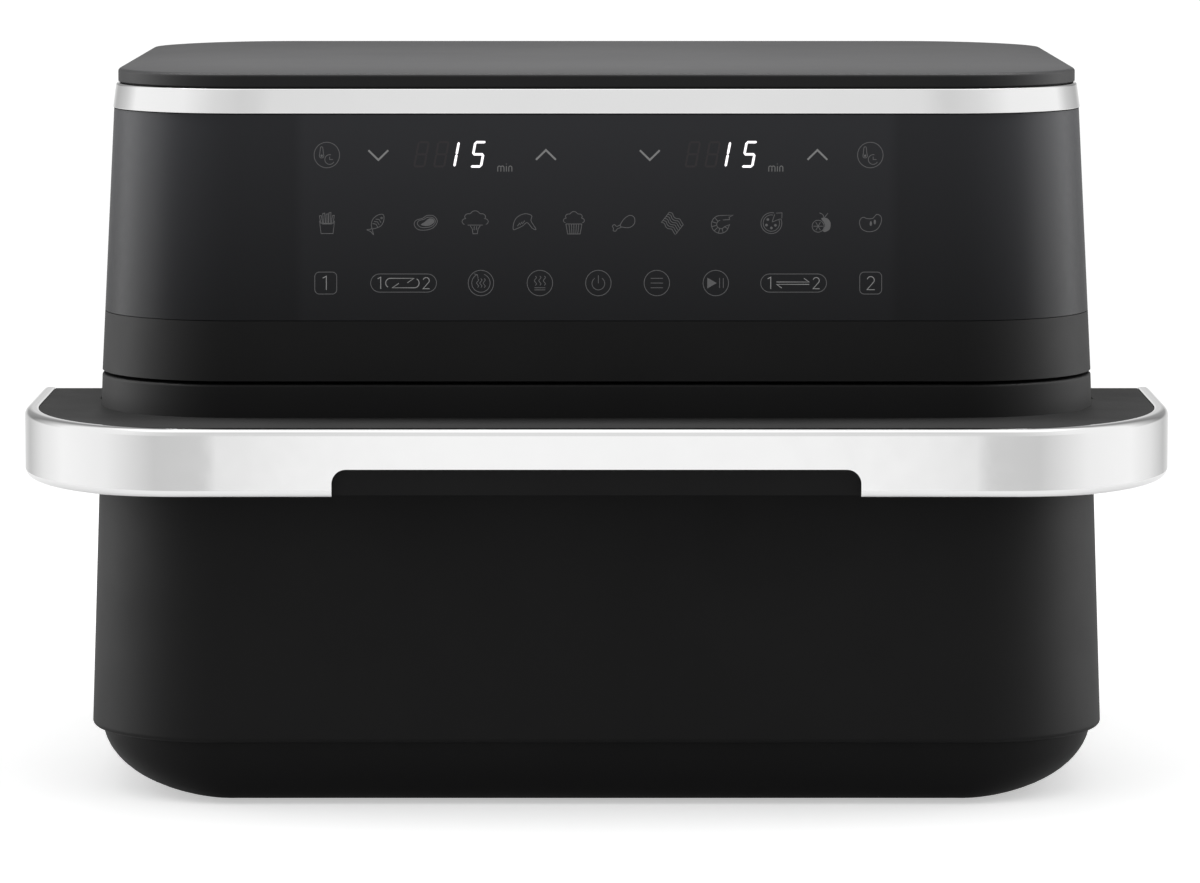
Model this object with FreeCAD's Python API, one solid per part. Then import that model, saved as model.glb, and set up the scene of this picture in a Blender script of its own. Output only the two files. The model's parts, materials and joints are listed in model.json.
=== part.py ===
"""Dual-zone air fryer with one wide drawer, a wrap-around handle and a touch control fascia.

Row frame: +Z up, +X to the user's right, the drawer opens towards -Y.
The origin is the middle of the footprint, on the surface that the feet stand on.
All sizes are millimetres.  Every sub-part is written to parts/NODE.step.
"""
import FreeCAD, Part  # noqa: E401  FreeCAD has to come first
import math
import os

V = FreeCAD.Vector
UP = V(0, 0, 1)

# ---------------------------------------------------------------- driving dimensions
HANDLE_HALF_WIDTH = 247.0      # half of the overall width
HANDLE_FRONT_Y = -200.0        # foremost face of the whole object
REAR_MOST_Y = 200.0            # rear grille
HANDLE_BOTTOM_Z = 139.6
HANDLE_TOP_Z = 168.0
HANDLE_REAR_Y = -16.0          # where the side wings end
HANDLE_CORNER = (74.0, 106.0)  # semi-axes of the handle's corner, along X and Y
CUTOUT_HALF_WIDTH = 110.5      # finger cut-out in the bright band
CUTOUT_TOP_Z = 150.9
CUTOUT_CORNER_R = 6.0

# (z, half width, front y, rear y) of the outside of the body, straight walls between
BODY_LEVELS = (
    (28.3, 219.6, -152.7, 197.0),
    (182.3, 214.5, -148.0, 196.0),
    (296.5, 208.9, -143.2, 194.0),
)
BODY_CORNER = (59.0, 64.0)     # semi-axes of the body's corner, along X and Y

FOOT_HEIGHT = 2.4
DRAWER_BOTTOM_Z = 28.3
DRAWER_TOP_Z = 181.6
DRAWER_REAR_Y = -65.0          # vertical seam between drawer front and side shell
HOUSING_BOTTOM_Z = 183.0
FASCIA_BOTTOM_Z = 208.5
FASCIA_REAR_Y = -66.0
HOUSING_TOP_Z = 296.0
BAND_BOTTOM_Z = 296.4
BAND_TOP_Z = 307.0
COVER_BOTTOM_Z = 307.3
COVER_EDGE_Z = 313.4
COVER_HALF_WIDTH = 207.0
COVER_FRONT_Y = -142.0
COVER_REAR_Y = 192.5
COVER_CORNER = (57.0, 62.0)

WALL = 3.0                     # moulded shells
SEAM = 0.3                     # visible joint between two fixed mouldings
SHEET = 0.6                    # liner sheet metal

ZONE_X = 92.0                  # centre of each cooking zone from the middle
FAN_Y = 20.0                   # both fan axes
SHAFT_R = 4.0
SHAFT_CLEARANCE = 0.05

DRAWER_PANEL_Y = (-123.0, -120.5)
PAN_HALF_WIDTH = 178.0
PAN_FRONT_Y = -120.4
PAN_REAR_Y = 154.0
PAN_BOTTOM_Z = 54.0
PAN_RIM_Z = 163.5
PAN_WALL = 1.2
PAN_CORNER_R = 32.0
RIM_WIDTH = 6.5

MOUTH_Y = -117.0               # front face of the fixed frame round the drawer opening
MOUTH_HALF_WIDTH = 187.0
MOUTH_Z = (48.0, 168.0)
CEILING_Z = 212.0
GUARD_Z = 176.0
LINER_Z = 42.0
LINER_REAR_Y = 170.0


# ---------------------------------------------------------------- small helpers
def box(x0, x1, y0, y1, z0, z1):
    return Part.makeBox(x1 - x0, y1 - y0, z1 - z0, V(x0, y0, z0))


def rod(r, x, y, z0, z1):
    return Part.makeCylinder(r, z1 - z0, V(x, y, z0), UP)


def rod_y(r, x, z, y0, y1):
    return Part.makeCylinder(r, y1 - y0, V(x, y0, z), V(0, 1, 0))


def fuse(shapes):
    shapes = list(shapes)
    whole = shapes[0].multiFuse(shapes[1:]) if len(shapes) > 1 else shapes[0]
    return whole.removeSplitter()


def group(shapes):
    """Separate solids that share one node."""
    return Part.makeCompound([s for shape in shapes for s in shape.Solids])


def mirrored(shape):
    return shape.mirror(V(0, 0, 0), V(1, 0, 0))


def rounded_box(x0, x1, y0, y1, z0, z1, r):
    """A box with its four upright edges rounded."""
    block = box(x0, x1, y0, y1, z0, z1)
    upright = [e for e in block.Edges if abs(e.Vertexes[0].Z - e.Vertexes[1].Z) > 1e-6]
    return block.makeFillet(r, upright)


def slab_facing_y(x0, x1, z0, z1, y0, y1, r):
    """A slab with its thickness along Y and rounded corners seen from the front."""
    slab = rounded_box(x0, x1, z0, z1, -y1, -y0, r)
    slab.rotate(V(0, 0, 0), V(1, 0, 0), 90)
    return slab


def slab_facing_x(y0, y1, z0, z1, x0, x1, r):
    """A slab with its thickness along X and rounded corners seen from the side."""
    slab = rounded_box(y0, y1, z0, z1, -x1, -x0, r)
    slab.rotate(V(0, 0, 0), V(1, 0, 0), 90)
    slab.rotate(V(0, 0, 0), UP, 90)
    return slab


def soften(shape, radius, wanted):
    """Rounds the edges that wanted(edge) picks."""
    edges = [e for e in shape.Edges if wanted(e)]
    if not edges:
        raise ValueError(f"no edge to round by {radius}")
    return shape.makeFillet(radius, edges)


def level_edges(z, tolerance=0.05):
    """Picks the edges that lie flat at height z."""
    return lambda e: all(abs(v.Z - z) < tolerance for v in e.Vertexes) and (
        abs(e.BoundBox.ZMax - e.BoundBox.ZMin) < tolerance * 2)


# ---------------------------------------------------------------- outlines
def quarter(cx, cy, a, b, start):
    """Quarter ellipse about (cx, cy), semi-axis a along X and b along Y, from angle start."""
    if abs(a - b) < 1e-6:
        curve = Part.Circle(V(cx, cy, 0), UP, a)
        first = start
    elif b > a:
        curve = Part.Ellipse(V(cx, cy + b, 0), V(cx - a, cy, 0), V(cx, cy, 0))
        first = start - math.pi / 2
    else:
        curve = Part.Ellipse(V(cx + a, cy, 0), V(cx, cy + b, 0), V(cx, cy, 0))
        first = start
    return Part.Arc(curve, first, first + math.pi / 2).toShape()


def outline(half_width, y_front, y_rear, corner, z=0.0):
    """Closed rounded rectangle with elliptical corners, as a wire at height z."""
    a, b = corner
    x = half_width - a
    front, rear = y_front + b, y_rear - b
    corners = (
        (x, rear, 0.0), (-x, rear, math.pi / 2),
        (-x, front, math.pi), (x, front, 1.5 * math.pi),
    )
    arcs = [quarter(cx, cy, a, b, start) for cx, cy, start in corners]
    edges = []
    for i, arc in enumerate(arcs):
        following = arcs[(i + 1) % 4]
        edges.append(arc)
        edges.append(Part.makeLine(arc.Vertexes[-1].Point, following.Vertexes[0].Point))
    wire = Part.Wire(edges)
    wire.translate(V(0, 0, z))
    return wire


def prism(wire, height):
    return Part.Face(wire).extrude(V(0, 0, height))


def body_level(z):
    """Half width, front y and rear y of the body's outside at height z."""
    levels = BODY_LEVELS
    pair = (levels[0], levels[1]) if z <= levels[1][0] else (levels[1], levels[2])
    low, high = pair
    t = (z - low[0]) / (high[0] - low[0])
    return tuple(low[i] + (high[i] - low[i]) * t for i in (1, 2, 3))


def body_outline(z, inset=0.0):
    half, front, rear = body_level(z)
    a, b = BODY_CORNER
    return outline(half - inset, front + inset, rear - inset, (a - inset, b - inset), z)


def body_block(z0, z1, inset=0.0):
    """The body's outside from z0 to z1, drawn in by inset, as a solid."""
    return Part.makeLoft([body_outline(z0, inset), body_outline(z1, inset)], True, True)


def body_wall(z0, z1, outer_inset, thickness):
    """A hollow sleeve of the body's shape, open above and below."""
    outside = body_block(z0, z1, outer_inset)
    inside = body_block(z0, z1, outer_inset + thickness)
    return outside.cut(inside)


def handle_outline(side_inset, front_inset, z):
    """The handle's plan shape, drawn in by the insets; its far side lies behind the wings' rear end."""
    a, b = HANDLE_CORNER
    corner = (a - side_inset, b - front_inset)
    return outline(HANDLE_HALF_WIDTH - side_inset, HANDLE_FRONT_Y + front_inset, HANDLE_REAR_Y + 2 * b, corner, z)


def wings_cut(block, z0, z1):
    """Cuts a block of the handle's plan shape off at the wings' rear end."""
    return block.cut(box(-FAR, FAR, HANDLE_REAR_Y, 400, z0 - 1, z1 + 1))


def handle_prism(side_inset, front_inset, z0, z1):
    block = prism(handle_outline(side_inset, front_inset, z0), z1 - z0)
    return wings_cut(block, z0, z1)


def handle_clearing(z0, z1):
    """What the handle stays clear of: the drawer front, and further back the side shell."""
    front = body_block(z0, z1, -0.05)
    return fuse([front, box(-WING_INNER_X, WING_INNER_X, DRAWER_REAR_Y, FAR, z0, z1)])


FAR = 300.0                    # beyond the object in any direction


# ---------------------------------------------------------------- base and feet
BASE_TOP_Z = 34.0
BASE_INSET = 4.4               # hull behind the body's lower edge
BASE_ROUND_SIDE = 38.0         # how far the hull rounds in at the sides,
BASE_ROUND_FRONT = 11.0        # at the front and back,
BASE_ROUND_HEIGHT = 28.5       # and over what height
BASE_WALL = 2.6
FOOT_R = 8.0
FOOT_RECESS = 1.2
FOOT_PLACES = [(sx * 158.0, y) for sx in (-1, 1) for y in (-114.0, 152.0)]
BASE_SCREW_PLACES = [(sx * 135.0, y) for sx in (-1, 1) for y in (-100.0, 136.0)]


def hull_block(extra_inset, bottom_z, top_z):
    """Boat-shaped block: upright at the top, rounding in to a flat bottom."""
    half, front, rear = body_level(DRAWER_BOTTOM_Z)
    round_top_z = bottom_z + BASE_ROUND_HEIGHT
    sections = []
    for step in range(7):
        angle = math.radians(90.0 * step / 6)
        rounding = 1 - math.cos(angle)
        side_inset = BASE_INSET + extra_inset + BASE_ROUND_SIDE * rounding
        end_inset = BASE_INSET + extra_inset + BASE_ROUND_FRONT * rounding
        corner = (BODY_CORNER[0] - 0.9 * side_inset, BODY_CORNER[1] - 0.9 * end_inset)
        z = round_top_z - BASE_ROUND_HEIGHT * math.sin(angle)
        sections.append(outline(half - side_inset, front + end_inset, rear - end_inset, corner, z))
    bowl = Part.makeLoft(sections[::-1], True, False)
    return fuse([bowl, prism(sections[0], top_z - round_top_z)])


def make_base_pan():
    pan = hull_block(0.0, FOOT_HEIGHT, BASE_TOP_Z)
    pan = pan.cut(hull_block(BASE_WALL, FOOT_HEIGHT + BASE_WALL, BASE_TOP_Z + 1))
    bosses = [rod(5.0, x, y, FOOT_HEIGHT + 1, 30.0) for x, y in BASE_SCREW_PLACES]
    pan = fuse([pan] + bosses)
    cuts = [rod(FOOT_R, x, y, FOOT_HEIGHT - 1, FOOT_HEIGHT + FOOT_RECESS) for x, y in FOOT_PLACES]
    cuts += [rod(4.2, x, y, 0, 7.0) for x, y in BASE_SCREW_PLACES]
    cuts += [rod(2.0, x, y, 0, 26.0) for x, y in BASE_SCREW_PLACES]
    cuts += [rounded_box(-60, 60, y, y + 4, 0, 8, 1.9) for y in range(62, 120, 9)]
    for cut in cuts:
        pan = pan.cut(cut)
    return pan


def make_foot(x, y):
    foot = rod(FOOT_R, x, y, 0, FOOT_HEIGHT + FOOT_RECESS)
    return soften(foot, 1.0, level_edges(0.0))


def make_screw(r, head_r, x, y, head_z, length, up=True):
    """Pan-head screw standing on Z; the head is below when up is true."""
    way = 1 if up else -1
    shank = Part.makeCylinder(r, length, V(x, y, head_z), V(0, 0, way))
    head = Part.makeCylinder(head_r, 2.4, V(x, y, head_z - way * 2.4), V(0, 0, way))
    slot = box(x - head_r, x + head_r, y - 0.5, y + 0.5, head_z - 3.0, head_z - 1.4)
    cross = box(x - 0.5, x + 0.5, y - head_r, y + head_r, head_z - 3.0, head_z - 1.4)
    inner = rod(head_r - 1.0, x, y, head_z - 3.0, head_z - 1.4)
    return fuse([shank, head]).cut(inner.common(fuse([slot, cross])))


def make_base_screws():
    return group(make_screw(1.95, 3.8, x, y, 7.0, 18.0) for x, y in BASE_SCREW_PLACES)


# ---------------------------------------------------------------- lower body
SLEEVE_INSET = 8.0
SLEEVE_WALL = 2.5
SIDE_SHELL_FRONT_Y = DRAWER_REAR_Y + 0.8


def make_side_shell():
    """Side and rear walls below the control housing, open at the front."""
    wall = body_wall(DRAWER_BOTTOM_Z, DRAWER_TOP_Z, 0.0, WALL)
    ledge = body_wall(DRAWER_TOP_Z - 3.0, DRAWER_TOP_Z, WALL, SLEEVE_INSET - WALL - 0.1)
    shell = fuse([wall, ledge]).cut(box(-FAR, FAR, -FAR, SIDE_SHELL_FRONT_Y, 0, 400))
    rear_y = body_level(GLAND_Z)[2]
    return shell.cut(rod_y(GLAND_NECK_R + 0.02, GLAND_X, GLAND_Z, rear_y - 8, rear_y + 8))


def make_front_sleeve():
    """Fixed inner sleeve that the drawer front closes over."""
    sleeve = body_wall(BASE_TOP_Z + 0.6, HOUSING_BOTTOM_Z - 0.4, SLEEVE_INSET, SLEEVE_WALL)
    return sleeve.common(box(-FAR, FAR, MOUTH_Y, DRAWER_REAR_Y + 12, 0, 400))


def make_mouth_frame():
    """Upright frame round the drawer opening, inside the sleeve."""
    block = body_block(BASE_TOP_Z + 0.6, HOUSING_BOTTOM_Z - 0.4, SLEEVE_INSET + SLEEVE_WALL + 0.03)
    frame = block.common(box(-FAR, FAR, MOUTH_Y, MOUTH_Y + 3.0, 0, 400))
    x = MOUTH_HALF_WIDTH
    opening = box(-x, x, MOUTH_Y - 1, MOUTH_Y + 4, MOUTH_Z[0], MOUTH_Z[1])
    hole = rod_y(SWITCH_BORE_R, SWITCH_X, SWITCH_Z, MOUTH_Y - 1, MOUTH_Y + 4)
    return frame.cut(opening).cut(hole)


# ---------------------------------------------------------------- upper housing
DECK_Z = (184.2, 186.2)
GRILLE_HALF_WIDTH = 118.0
GRILLE_Z = (206.0, 284.0)
GLAND_X, GLAND_Z = -148.0, 70.0
GLAND_BORE_R = 3.7
GLAND_NECK_R = 6.5
GLAND_FLANGE_R = 9.5


def make_upper_housing():
    shell = body_wall(HOUSING_BOTTOM_Z, HOUSING_TOP_Z, 0.0, WALL)
    roof = body_block(HOUSING_TOP_Z - WALL, HOUSING_TOP_Z, WALL)
    roof = roof.cut(box(-150, 150, -100, 150, 280, 300))
    shell = fuse([shell, roof])
    seat = body_block(FASCIA_BOTTOM_Z, HOUSING_TOP_Z + 1, -2.0).cut(
        body_block(FASCIA_BOTTOM_Z, HOUSING_TOP_Z + 1, 2.0))
    seat = seat.cut(box(-FAR, FAR, FASCIA_REAR_Y, FAR, 0, 400))
    window = box(-150, 150, -FAR, -100, FASCIA_BOTTOM_Z + 6, HOUSING_TOP_Z - 6)
    x = GRILLE_HALF_WIDTH - 6
    vent = box(-x, x, 150, FAR, GRILLE_Z[0] + 6, GRILLE_Z[1] - 6)
    return shell.cut(seat).cut(window).cut(vent)


def make_fascia():
    """Wrap-around touch fascia, flush with the housing."""
    skin = body_wall(FASCIA_BOTTOM_Z + SEAM, HOUSING_TOP_Z, 0.0, 1.9)
    skin = skin.cut(box(-FAR, FAR, FASCIA_REAR_Y - SEAM, FAR, 0, 400))
    return skin


def make_deck():
    """Partition that closes the housing underneath, with an opening over the cooking space."""
    plate = body_block(DECK_Z[0], DECK_Z[1], WALL + 0.1)
    return plate.cut(box(-188.5, 188.5, MOUTH_Y + 2, LINER_REAR_Y + 6, 180, 190))


def make_chrome_band():
    """Bright band between housing and cover, slightly proud of both, leaning with the walls."""
    low = outline(209.4, -143.9, 194.6, BODY_CORNER, BAND_BOTTOM_Z)
    high = outline(208.0, -143.1, 193.8, BODY_CORNER, BAND_TOP_Z)
    outer = Part.makeLoft([low, high], True, True)
    outer = soften(outer, 0.9, level_edges(BAND_BOTTOM_Z))
    outer = soften(outer, 0.9, level_edges(BAND_TOP_Z))
    return outer.cut(prism(outline(204.8, -140.0, 190.5, (55, 60), BAND_BOTTOM_Z - 1), 15))


def cover_outline(inset, z):
    a, b = COVER_CORNER
    corner = (a - 0.5 * inset, b - 0.5 * inset)
    return outline(COVER_HALF_WIDTH - inset, COVER_FRONT_Y + inset, COVER_REAR_Y - inset, corner, z)


def make_cover():
    """Top cover: upright rim and a gently crowned top, hollow below, with a locating spigot."""
    rim = prism(cover_outline(0.0, COVER_BOTTOM_Z), COVER_EDGE_Z - COVER_BOTTOM_Z)
    crown_steps = ((0.0, 0.0), (10.0, 0.7), (35.0, 1.2), (80.0, 1.5))    # inset, rise
    sections = [cover_outline(inset, COVER_EDGE_Z + rise) for inset, rise in crown_steps]
    whole = fuse([rim, Part.makeLoft(sections, True, False)])
    whole = soften(whole, 0.8, level_edges(COVER_EDGE_Z))
    whole = whole.cut(prism(cover_outline(3.0, COVER_BOTTOM_Z - 1), 4.6))
    whole = whole.cut(prism(cover_outline(14.0, COVER_BOTTOM_Z - 1), 5.9))
    spigot = prism(cover_outline(2.4, BAND_BOTTOM_Z), COVER_BOTTOM_Z + 3.8 - BAND_BOTTOM_Z)
    return fuse([whole, spigot.cut(prism(cover_outline(5.4, BAND_BOTTOM_Z - 1), 20))])


def make_rear_grille():
    """Hot-air outlet at the back, with two banks of slots."""
    x = GRILLE_HALF_WIDTH
    plate = slab_facing_y(-x, x, GRILLE_Z[0], GRILLE_Z[1], REAR_MOST_Y - 8.0, REAR_MOST_Y, 8.0)
    plate = soften(plate, 1.5, lambda e: abs(e.BoundBox.YMax - REAR_MOST_Y) < 0.01
                   and abs(e.BoundBox.YMin - REAR_MOST_Y) < 0.01)
    plate = plate.cut(body_block(HOUSING_BOTTOM_Z, HOUSING_TOP_Z, -0.02))
    slots = []
    for side in (-1, 1):
        for row in range(9):
            z = GRILLE_Z[0] + 11.0 + 6.6 * row
            x0, x1 = sorted((side * 8.0, side * 106.0))
            slots.append(box(x0, x1, REAR_MOST_Y - 20, REAR_MOST_Y + 5, z, z + 3.2))
    return plate.cut(fuse(slots))


def make_cord_gland():
    """Snap-in bush for the mains lead, in the rear wall."""
    wall_out = body_level(GLAND_Z)[2]
    flange = rod_y(GLAND_FLANGE_R, GLAND_X, GLAND_Z, wall_out + 0.05, wall_out + 2.6)
    flange = soften(flange, 0.8, lambda e: e.BoundBox.YMin > wall_out + 2.5)
    neck = rod_y(GLAND_NECK_R, GLAND_X, GLAND_Z, wall_out - 6.4, wall_out + 1)
    barb = rod_y(GLAND_NECK_R + 1.4, GLAND_X, GLAND_Z, wall_out - 9.4, wall_out - 3.4)
    bore = rod_y(GLAND_BORE_R, GLAND_X, GLAND_Z, wall_out - 12, wall_out + 6)
    return fuse([flange, neck, barb]).cut(bore)


# ---------------------------------------------------------------- cooking space
RAIL_HEIGHT = 2.9
LINER_SETBACK = 6.2            # from the mouth frame, leaving room for the door switch
SENSOR_Z = 190.0


def make_liner():
    """Sheet-metal box round the cooking space, open to the front."""
    x = MOUTH_HALF_WIDTH + SHEET
    y0, y1 = MOUTH_Y + LINER_SETBACK, LINER_REAR_Y + SHEET
    liner = box(-x, x, y0, y1, LINER_Z, CEILING_Z + SHEET)
    liner = liner.cut(box(-x + SHEET, x - SHEET, y0 + SHEET, y1 - SHEET, LINER_Z + SHEET, CEILING_Z))
    liner = liner.cut(box(-x + SHEET, x - SHEET, y0 - 1, y0 + SHEET + 1, MOUTH_Z[0], MOUTH_Z[1]))
    for side in (-1, 1):
        liner = liner.cut(rod(9.0, side * ZONE_X, FAN_Y, CEILING_Z - 2, CEILING_Z + 3))
        for dx in (-9, 9):
            liner = liner.cut(rod(5.0, side * ZONE_X + dx, FAN_Y + COIL_OUTER_R, CEILING_Z - 2,
                                  CEILING_Z + 3))
        liner = liner.cut(rod_y(2.6, side * ZONE_X, SENSOR_Z, LINER_REAR_Y - 2, LINER_REAR_Y + 3))
    return liner


def make_partition():
    """Upright sheet between the two heater chambers."""
    return box(-0.6, 0.6, MOUTH_Y + LINER_SETBACK + 1.3, LINER_REAR_Y - 0.2, GUARD_Z, CEILING_Z - 0.2)


def make_rail(side):
    x0, x1 = sorted((side * (PAN_HALF_WIDTH + 1.4), side * (MOUTH_HALF_WIDTH - 0.02)))
    top = PAN_RIM_Z - PAN_WALL - 0.15
    rail = box(x0, x1, MOUTH_Y + 6, LINER_REAR_Y - 1, top - RAIL_HEIGHT, top)
    return soften(rail, 0.8, level_edges(top))


GUARD_HOLE_R = 80.0
GUARD_BAR = 2.2


def make_guard(side):
    """Flat-bar guard under the heater, in a pressed frame."""
    x0, x1 = sorted((side * 2.2, side * (MOUTH_HALF_WIDTH - 1.2)))
    frame = rounded_box(x0, x1, MOUTH_Y + LINER_SETBACK + 1.3, LINER_REAR_Y - 1.5, GUARD_Z, GUARD_Z + 1.4, 12)
    cx = side * ZONE_X
    frame = frame.cut(rod(GUARD_HOLE_R, cx, FAN_Y, GUARD_Z - 2, GUARD_Z + 5))
    bars = []
    for r in (14.0, 30.0, 46.0, 62.0):
        ring = rod(r + GUARD_BAR / 2, cx, FAN_Y, GUARD_Z, GUARD_Z + 1.4)
        bars.append(ring.cut(rod(r - GUARD_BAR / 2, cx, FAN_Y, GUARD_Z - 1, GUARD_Z + 3)))
    for k in range(4):
        bar = box(-GUARD_HOLE_R - 2, GUARD_HOLE_R + 2, -GUARD_BAR / 2, GUARD_BAR / 2, GUARD_Z, GUARD_Z + 1.4)
        bar.rotate(V(0, 0, 0), UP, 45 * k + 22.5)
        bar.translate(V(cx, FAN_Y, 0))
        bars.append(bar)
    return fuse([frame] + bars)


COIL_R = 3.2
COIL_INNER_R = 52.0
COIL_OUTER_R = 66.0
COIL_Z = 185.5


def make_heater(side):
    """Tubular heater: two rings joined by a bridge, with two terminals through the ceiling."""
    cx = side * ZONE_X
    centre = V(cx, FAN_Y, COIL_Z)
    gap = 16.0
    rings = [Part.makeTorus(r, COIL_R, centre, UP, 0, 360, 360 - gap) for r in (COIL_INNER_R, COIL_OUTER_R)]
    for ring in rings:
        ring.rotate(centre, UP, 90 + gap / 2)
    end = math.radians(90 - gap / 2)
    across = V(math.cos(end), math.sin(end), 0)
    bridge = Part.makeCylinder(COIL_R, COIL_OUTER_R - COIL_INNER_R, centre + across * COIL_INNER_R, across)
    knots = [Part.makeSphere(COIL_R, centre + across * r) for r in (COIL_INNER_R, COIL_OUTER_R)]
    start = math.radians(90 + gap / 2)
    back = V(math.cos(start), math.sin(start), 0)
    legs = []
    for r in (COIL_INNER_R, COIL_OUTER_R):
        foot = centre + back * r
        legs.append(Part.makeSphere(COIL_R, foot))
        if r == COIL_INNER_R:
            corner = V(cx + 9, FAN_Y + COIL_OUTER_R, COIL_Z + 10)
        else:
            corner = V(cx - 9, FAN_Y + COIL_OUTER_R, COIL_Z + 10)
        way = corner - foot
        legs.append(Part.makeCylinder(COIL_R, way.Length, foot, way))
        legs.append(Part.makeSphere(COIL_R, corner))
        legs.append(Part.makeCylinder(COIL_R, CEILING_Z + 8 - corner.z, corner, UP))
    return fuse(rings + [bridge] + knots + legs)


# ---------------------------------------------------------------- fans and motors
CONVECTION_FAN_Z = (191.0, 206.0)
MOTOR_DECK_Z = 222.0
MOTOR_Z = (224.0, 252.0)
COOLING_FAN_Z = (258.0, 272.0)


def make_fan(cx, z0, z1, radius, hub_r, blades, lean):
    """Pressed radial fan: hub, back disc and upright blades."""
    disc = rod(radius * 0.93, cx, FAN_Y, z1 - 1.2, z1)
    hub = rod(hub_r, cx, FAN_Y, z0 + 2, z1)
    parts = [disc, hub]
    for k in range(blades):
        blade = box(hub_r + 4, radius, -0.6, 0.6, z0, z1)
        blade.rotate(V(hub_r + 4, 0, 0), UP, lean)
        blade.rotate(V(0, 0, 0), UP, 360.0 * k / blades)
        blade.translate(V(cx, FAN_Y, 0))
        parts.append(blade)
    bore = rod(SHAFT_R + 0.01, cx, FAN_Y, z0 - 5, z1 + 5)
    return fuse(parts).cut(bore)


def make_shaft(side):
    cx = side * ZONE_X
    shaft = rod(SHAFT_R, cx, FAN_Y, CONVECTION_FAN_Z[0] - 5.5, COOLING_FAN_Z[1] + 4)
    return soften(shaft, 0.6, lambda e: True)


def make_fan_nut(side):
    """Dome nut that holds the convection fan."""
    cx = side * ZONE_X
    z1 = CONVECTION_FAN_Z[0] + 1.9
    points = [V(cx + 8 * math.cos(math.radians(60 * k)), FAN_Y + 8 * math.sin(math.radians(60 * k)), z1 - 6)
              for k in range(7)]
    hexagon = Part.Face(Part.makePolygon(points)).extrude(V(0, 0, 6))
    dome = Part.makeSphere(6.6, V(cx, FAN_Y, z1 - 6)).common(rod(7, cx, FAN_Y, z1 - 13, z1 - 5.9))
    bore = rod(SHAFT_R + 0.01, cx, FAN_Y, CONVECTION_FAN_Z[0] - 5.6, z1 + 2)
    return fuse([hexagon, dome]).cut(bore)


def make_motor(side):
    """Shaded-pole style motor can with end bosses, bored for the shaft."""
    cx = side * ZONE_X
    z0, z1 = MOTOR_Z
    can = soften(rod(32, cx, FAN_Y, z0, z1), 2.5, level_edges(z1))
    bosses = [rod(11, cx, FAN_Y, z0 - 1.5, z1 + 3)]
    ears = box(cx - 40, cx + 40, FAN_Y - 8, FAN_Y + 8, z0, z0 + 2)
    motor = fuse([can, ears] + bosses)
    motor = motor.cut(rod(SHAFT_R + SHAFT_CLEARANCE, cx, FAN_Y, z0 - 10, z1 + 10))
    for dx in (-36, 36):
        motor = motor.cut(rod(2.1, cx + dx, FAN_Y, z0 - 2, z0 + 4))
    return motor


def make_motor_deck():
    """Steel plate that carries both motors above the ceiling, on four turned-down feet."""
    z = MOTOR_DECK_Z
    deck = box(-178, 178, FAN_Y - 64, FAN_Y + 70, z, z + 1.9)
    feet = [box(sx * 172 - 6, sx * 172 + 6, y, y + 12, CEILING_Z + SHEET + 0.02, z) for sx in (-1, 1)
            for y in (FAN_Y - 62, FAN_Y + 56)]
    deck = fuse([deck] + feet)
    for side in (-1, 1):
        deck = deck.cut(rod(12.0, side * ZONE_X, FAN_Y, z - 1, z + 5))
        for dx in (-36, 36):
            deck = deck.cut(rod(2.1, side * ZONE_X + dx, FAN_Y, z - 1, z + 5))
        deck = deck.cut(box(side * ZONE_X - 22, side * ZONE_X + 22, FAN_Y + 58, FAN_Y + 72, z - 1, z + 5))
    return deck


def make_motor_screws():
    screws = []
    for side in (-1, 1):
        for dx in (-36, 36):
            x = side * ZONE_X + dx
            screw = fuse([rod(2.0, x, FAN_Y, MOTOR_DECK_Z - 4, MOTOR_Z[0] + 3),
                          rod(4.0, x, FAN_Y, MOTOR_Z[0] + 2.02, MOTOR_Z[0] + 4.6)])
            screws.append(soften(screw, 0.7, level_edges(MOTOR_Z[0] + 4.6)))
    return group(screws)


# ---------------------------------------------------------------- electrics
BOARD_Z = (214.0, 284.0)
BOARD_TILT = math.degrees(math.atan2(4.8, 113.5))
DISPLAY_X = (-62.1, 53.2)


def panel_front_y(z):
    return body_level(z)[1]


def make_control_board():
    board = box(-140, 140, 0, 1.6, 0, BOARD_Z[1] - BOARD_Z[0])
    board.rotate(V(0, 0, 0), V(1, 0, 0), -BOARD_TILT)
    board.translate(V(0, panel_front_y(BOARD_Z[0]) + 16, BOARD_Z[0]))
    return board


def make_display(side):
    """LED display block between the fascia and the board."""
    width, height, depth = 56.0, 19.0, 9.0
    block = box(-width / 2, width / 2, 0, depth, -height / 2, height / 2)
    block.rotate(V(0, 0, 0), V(1, 0, 0), -BOARD_TILT)
    z = 279.0
    block.translate(V(DISPLAY_X[side > 0], panel_front_y(z) + 5.0, z))
    return block


def make_power_board():
    z = CEILING_Z + SHEET + 8
    board = box(-170, -30, 104, 164, z, z + 1.6)
    feet = [rod(3.0, x, y, CEILING_Z + SHEET + 0.02, z) for x in (-162, -38) for y in (110, 158)]
    relays = [box(x, x + 18, 108, 122, z + 1.5, z + 16) for x in (-154, -130, -106)]
    capacitors = [rod(7, x, 146, z + 1.5, z + 24) for x in (-78, -60)]
    transformer = box(-146, -114, 130, 156, z + 1.5, z + 22)
    return fuse([board, transformer] + feet + relays + capacitors)


def make_sensor(side):
    """Temperature probe through the rear wall of the liner."""
    x = side * ZONE_X
    tip = Part.makeSphere(2.4, V(x, LINER_REAR_Y - 22, SENSOR_Z))
    probe = rod_y(2.4, x, SENSOR_Z, LINER_REAR_Y - 22, LINER_REAR_Y + 8)
    collar = rod_y(5.0, x, SENSOR_Z, LINER_REAR_Y + SHEET + 0.02, LINER_REAR_Y + 5)
    return fuse([tip, probe, collar])


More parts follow.
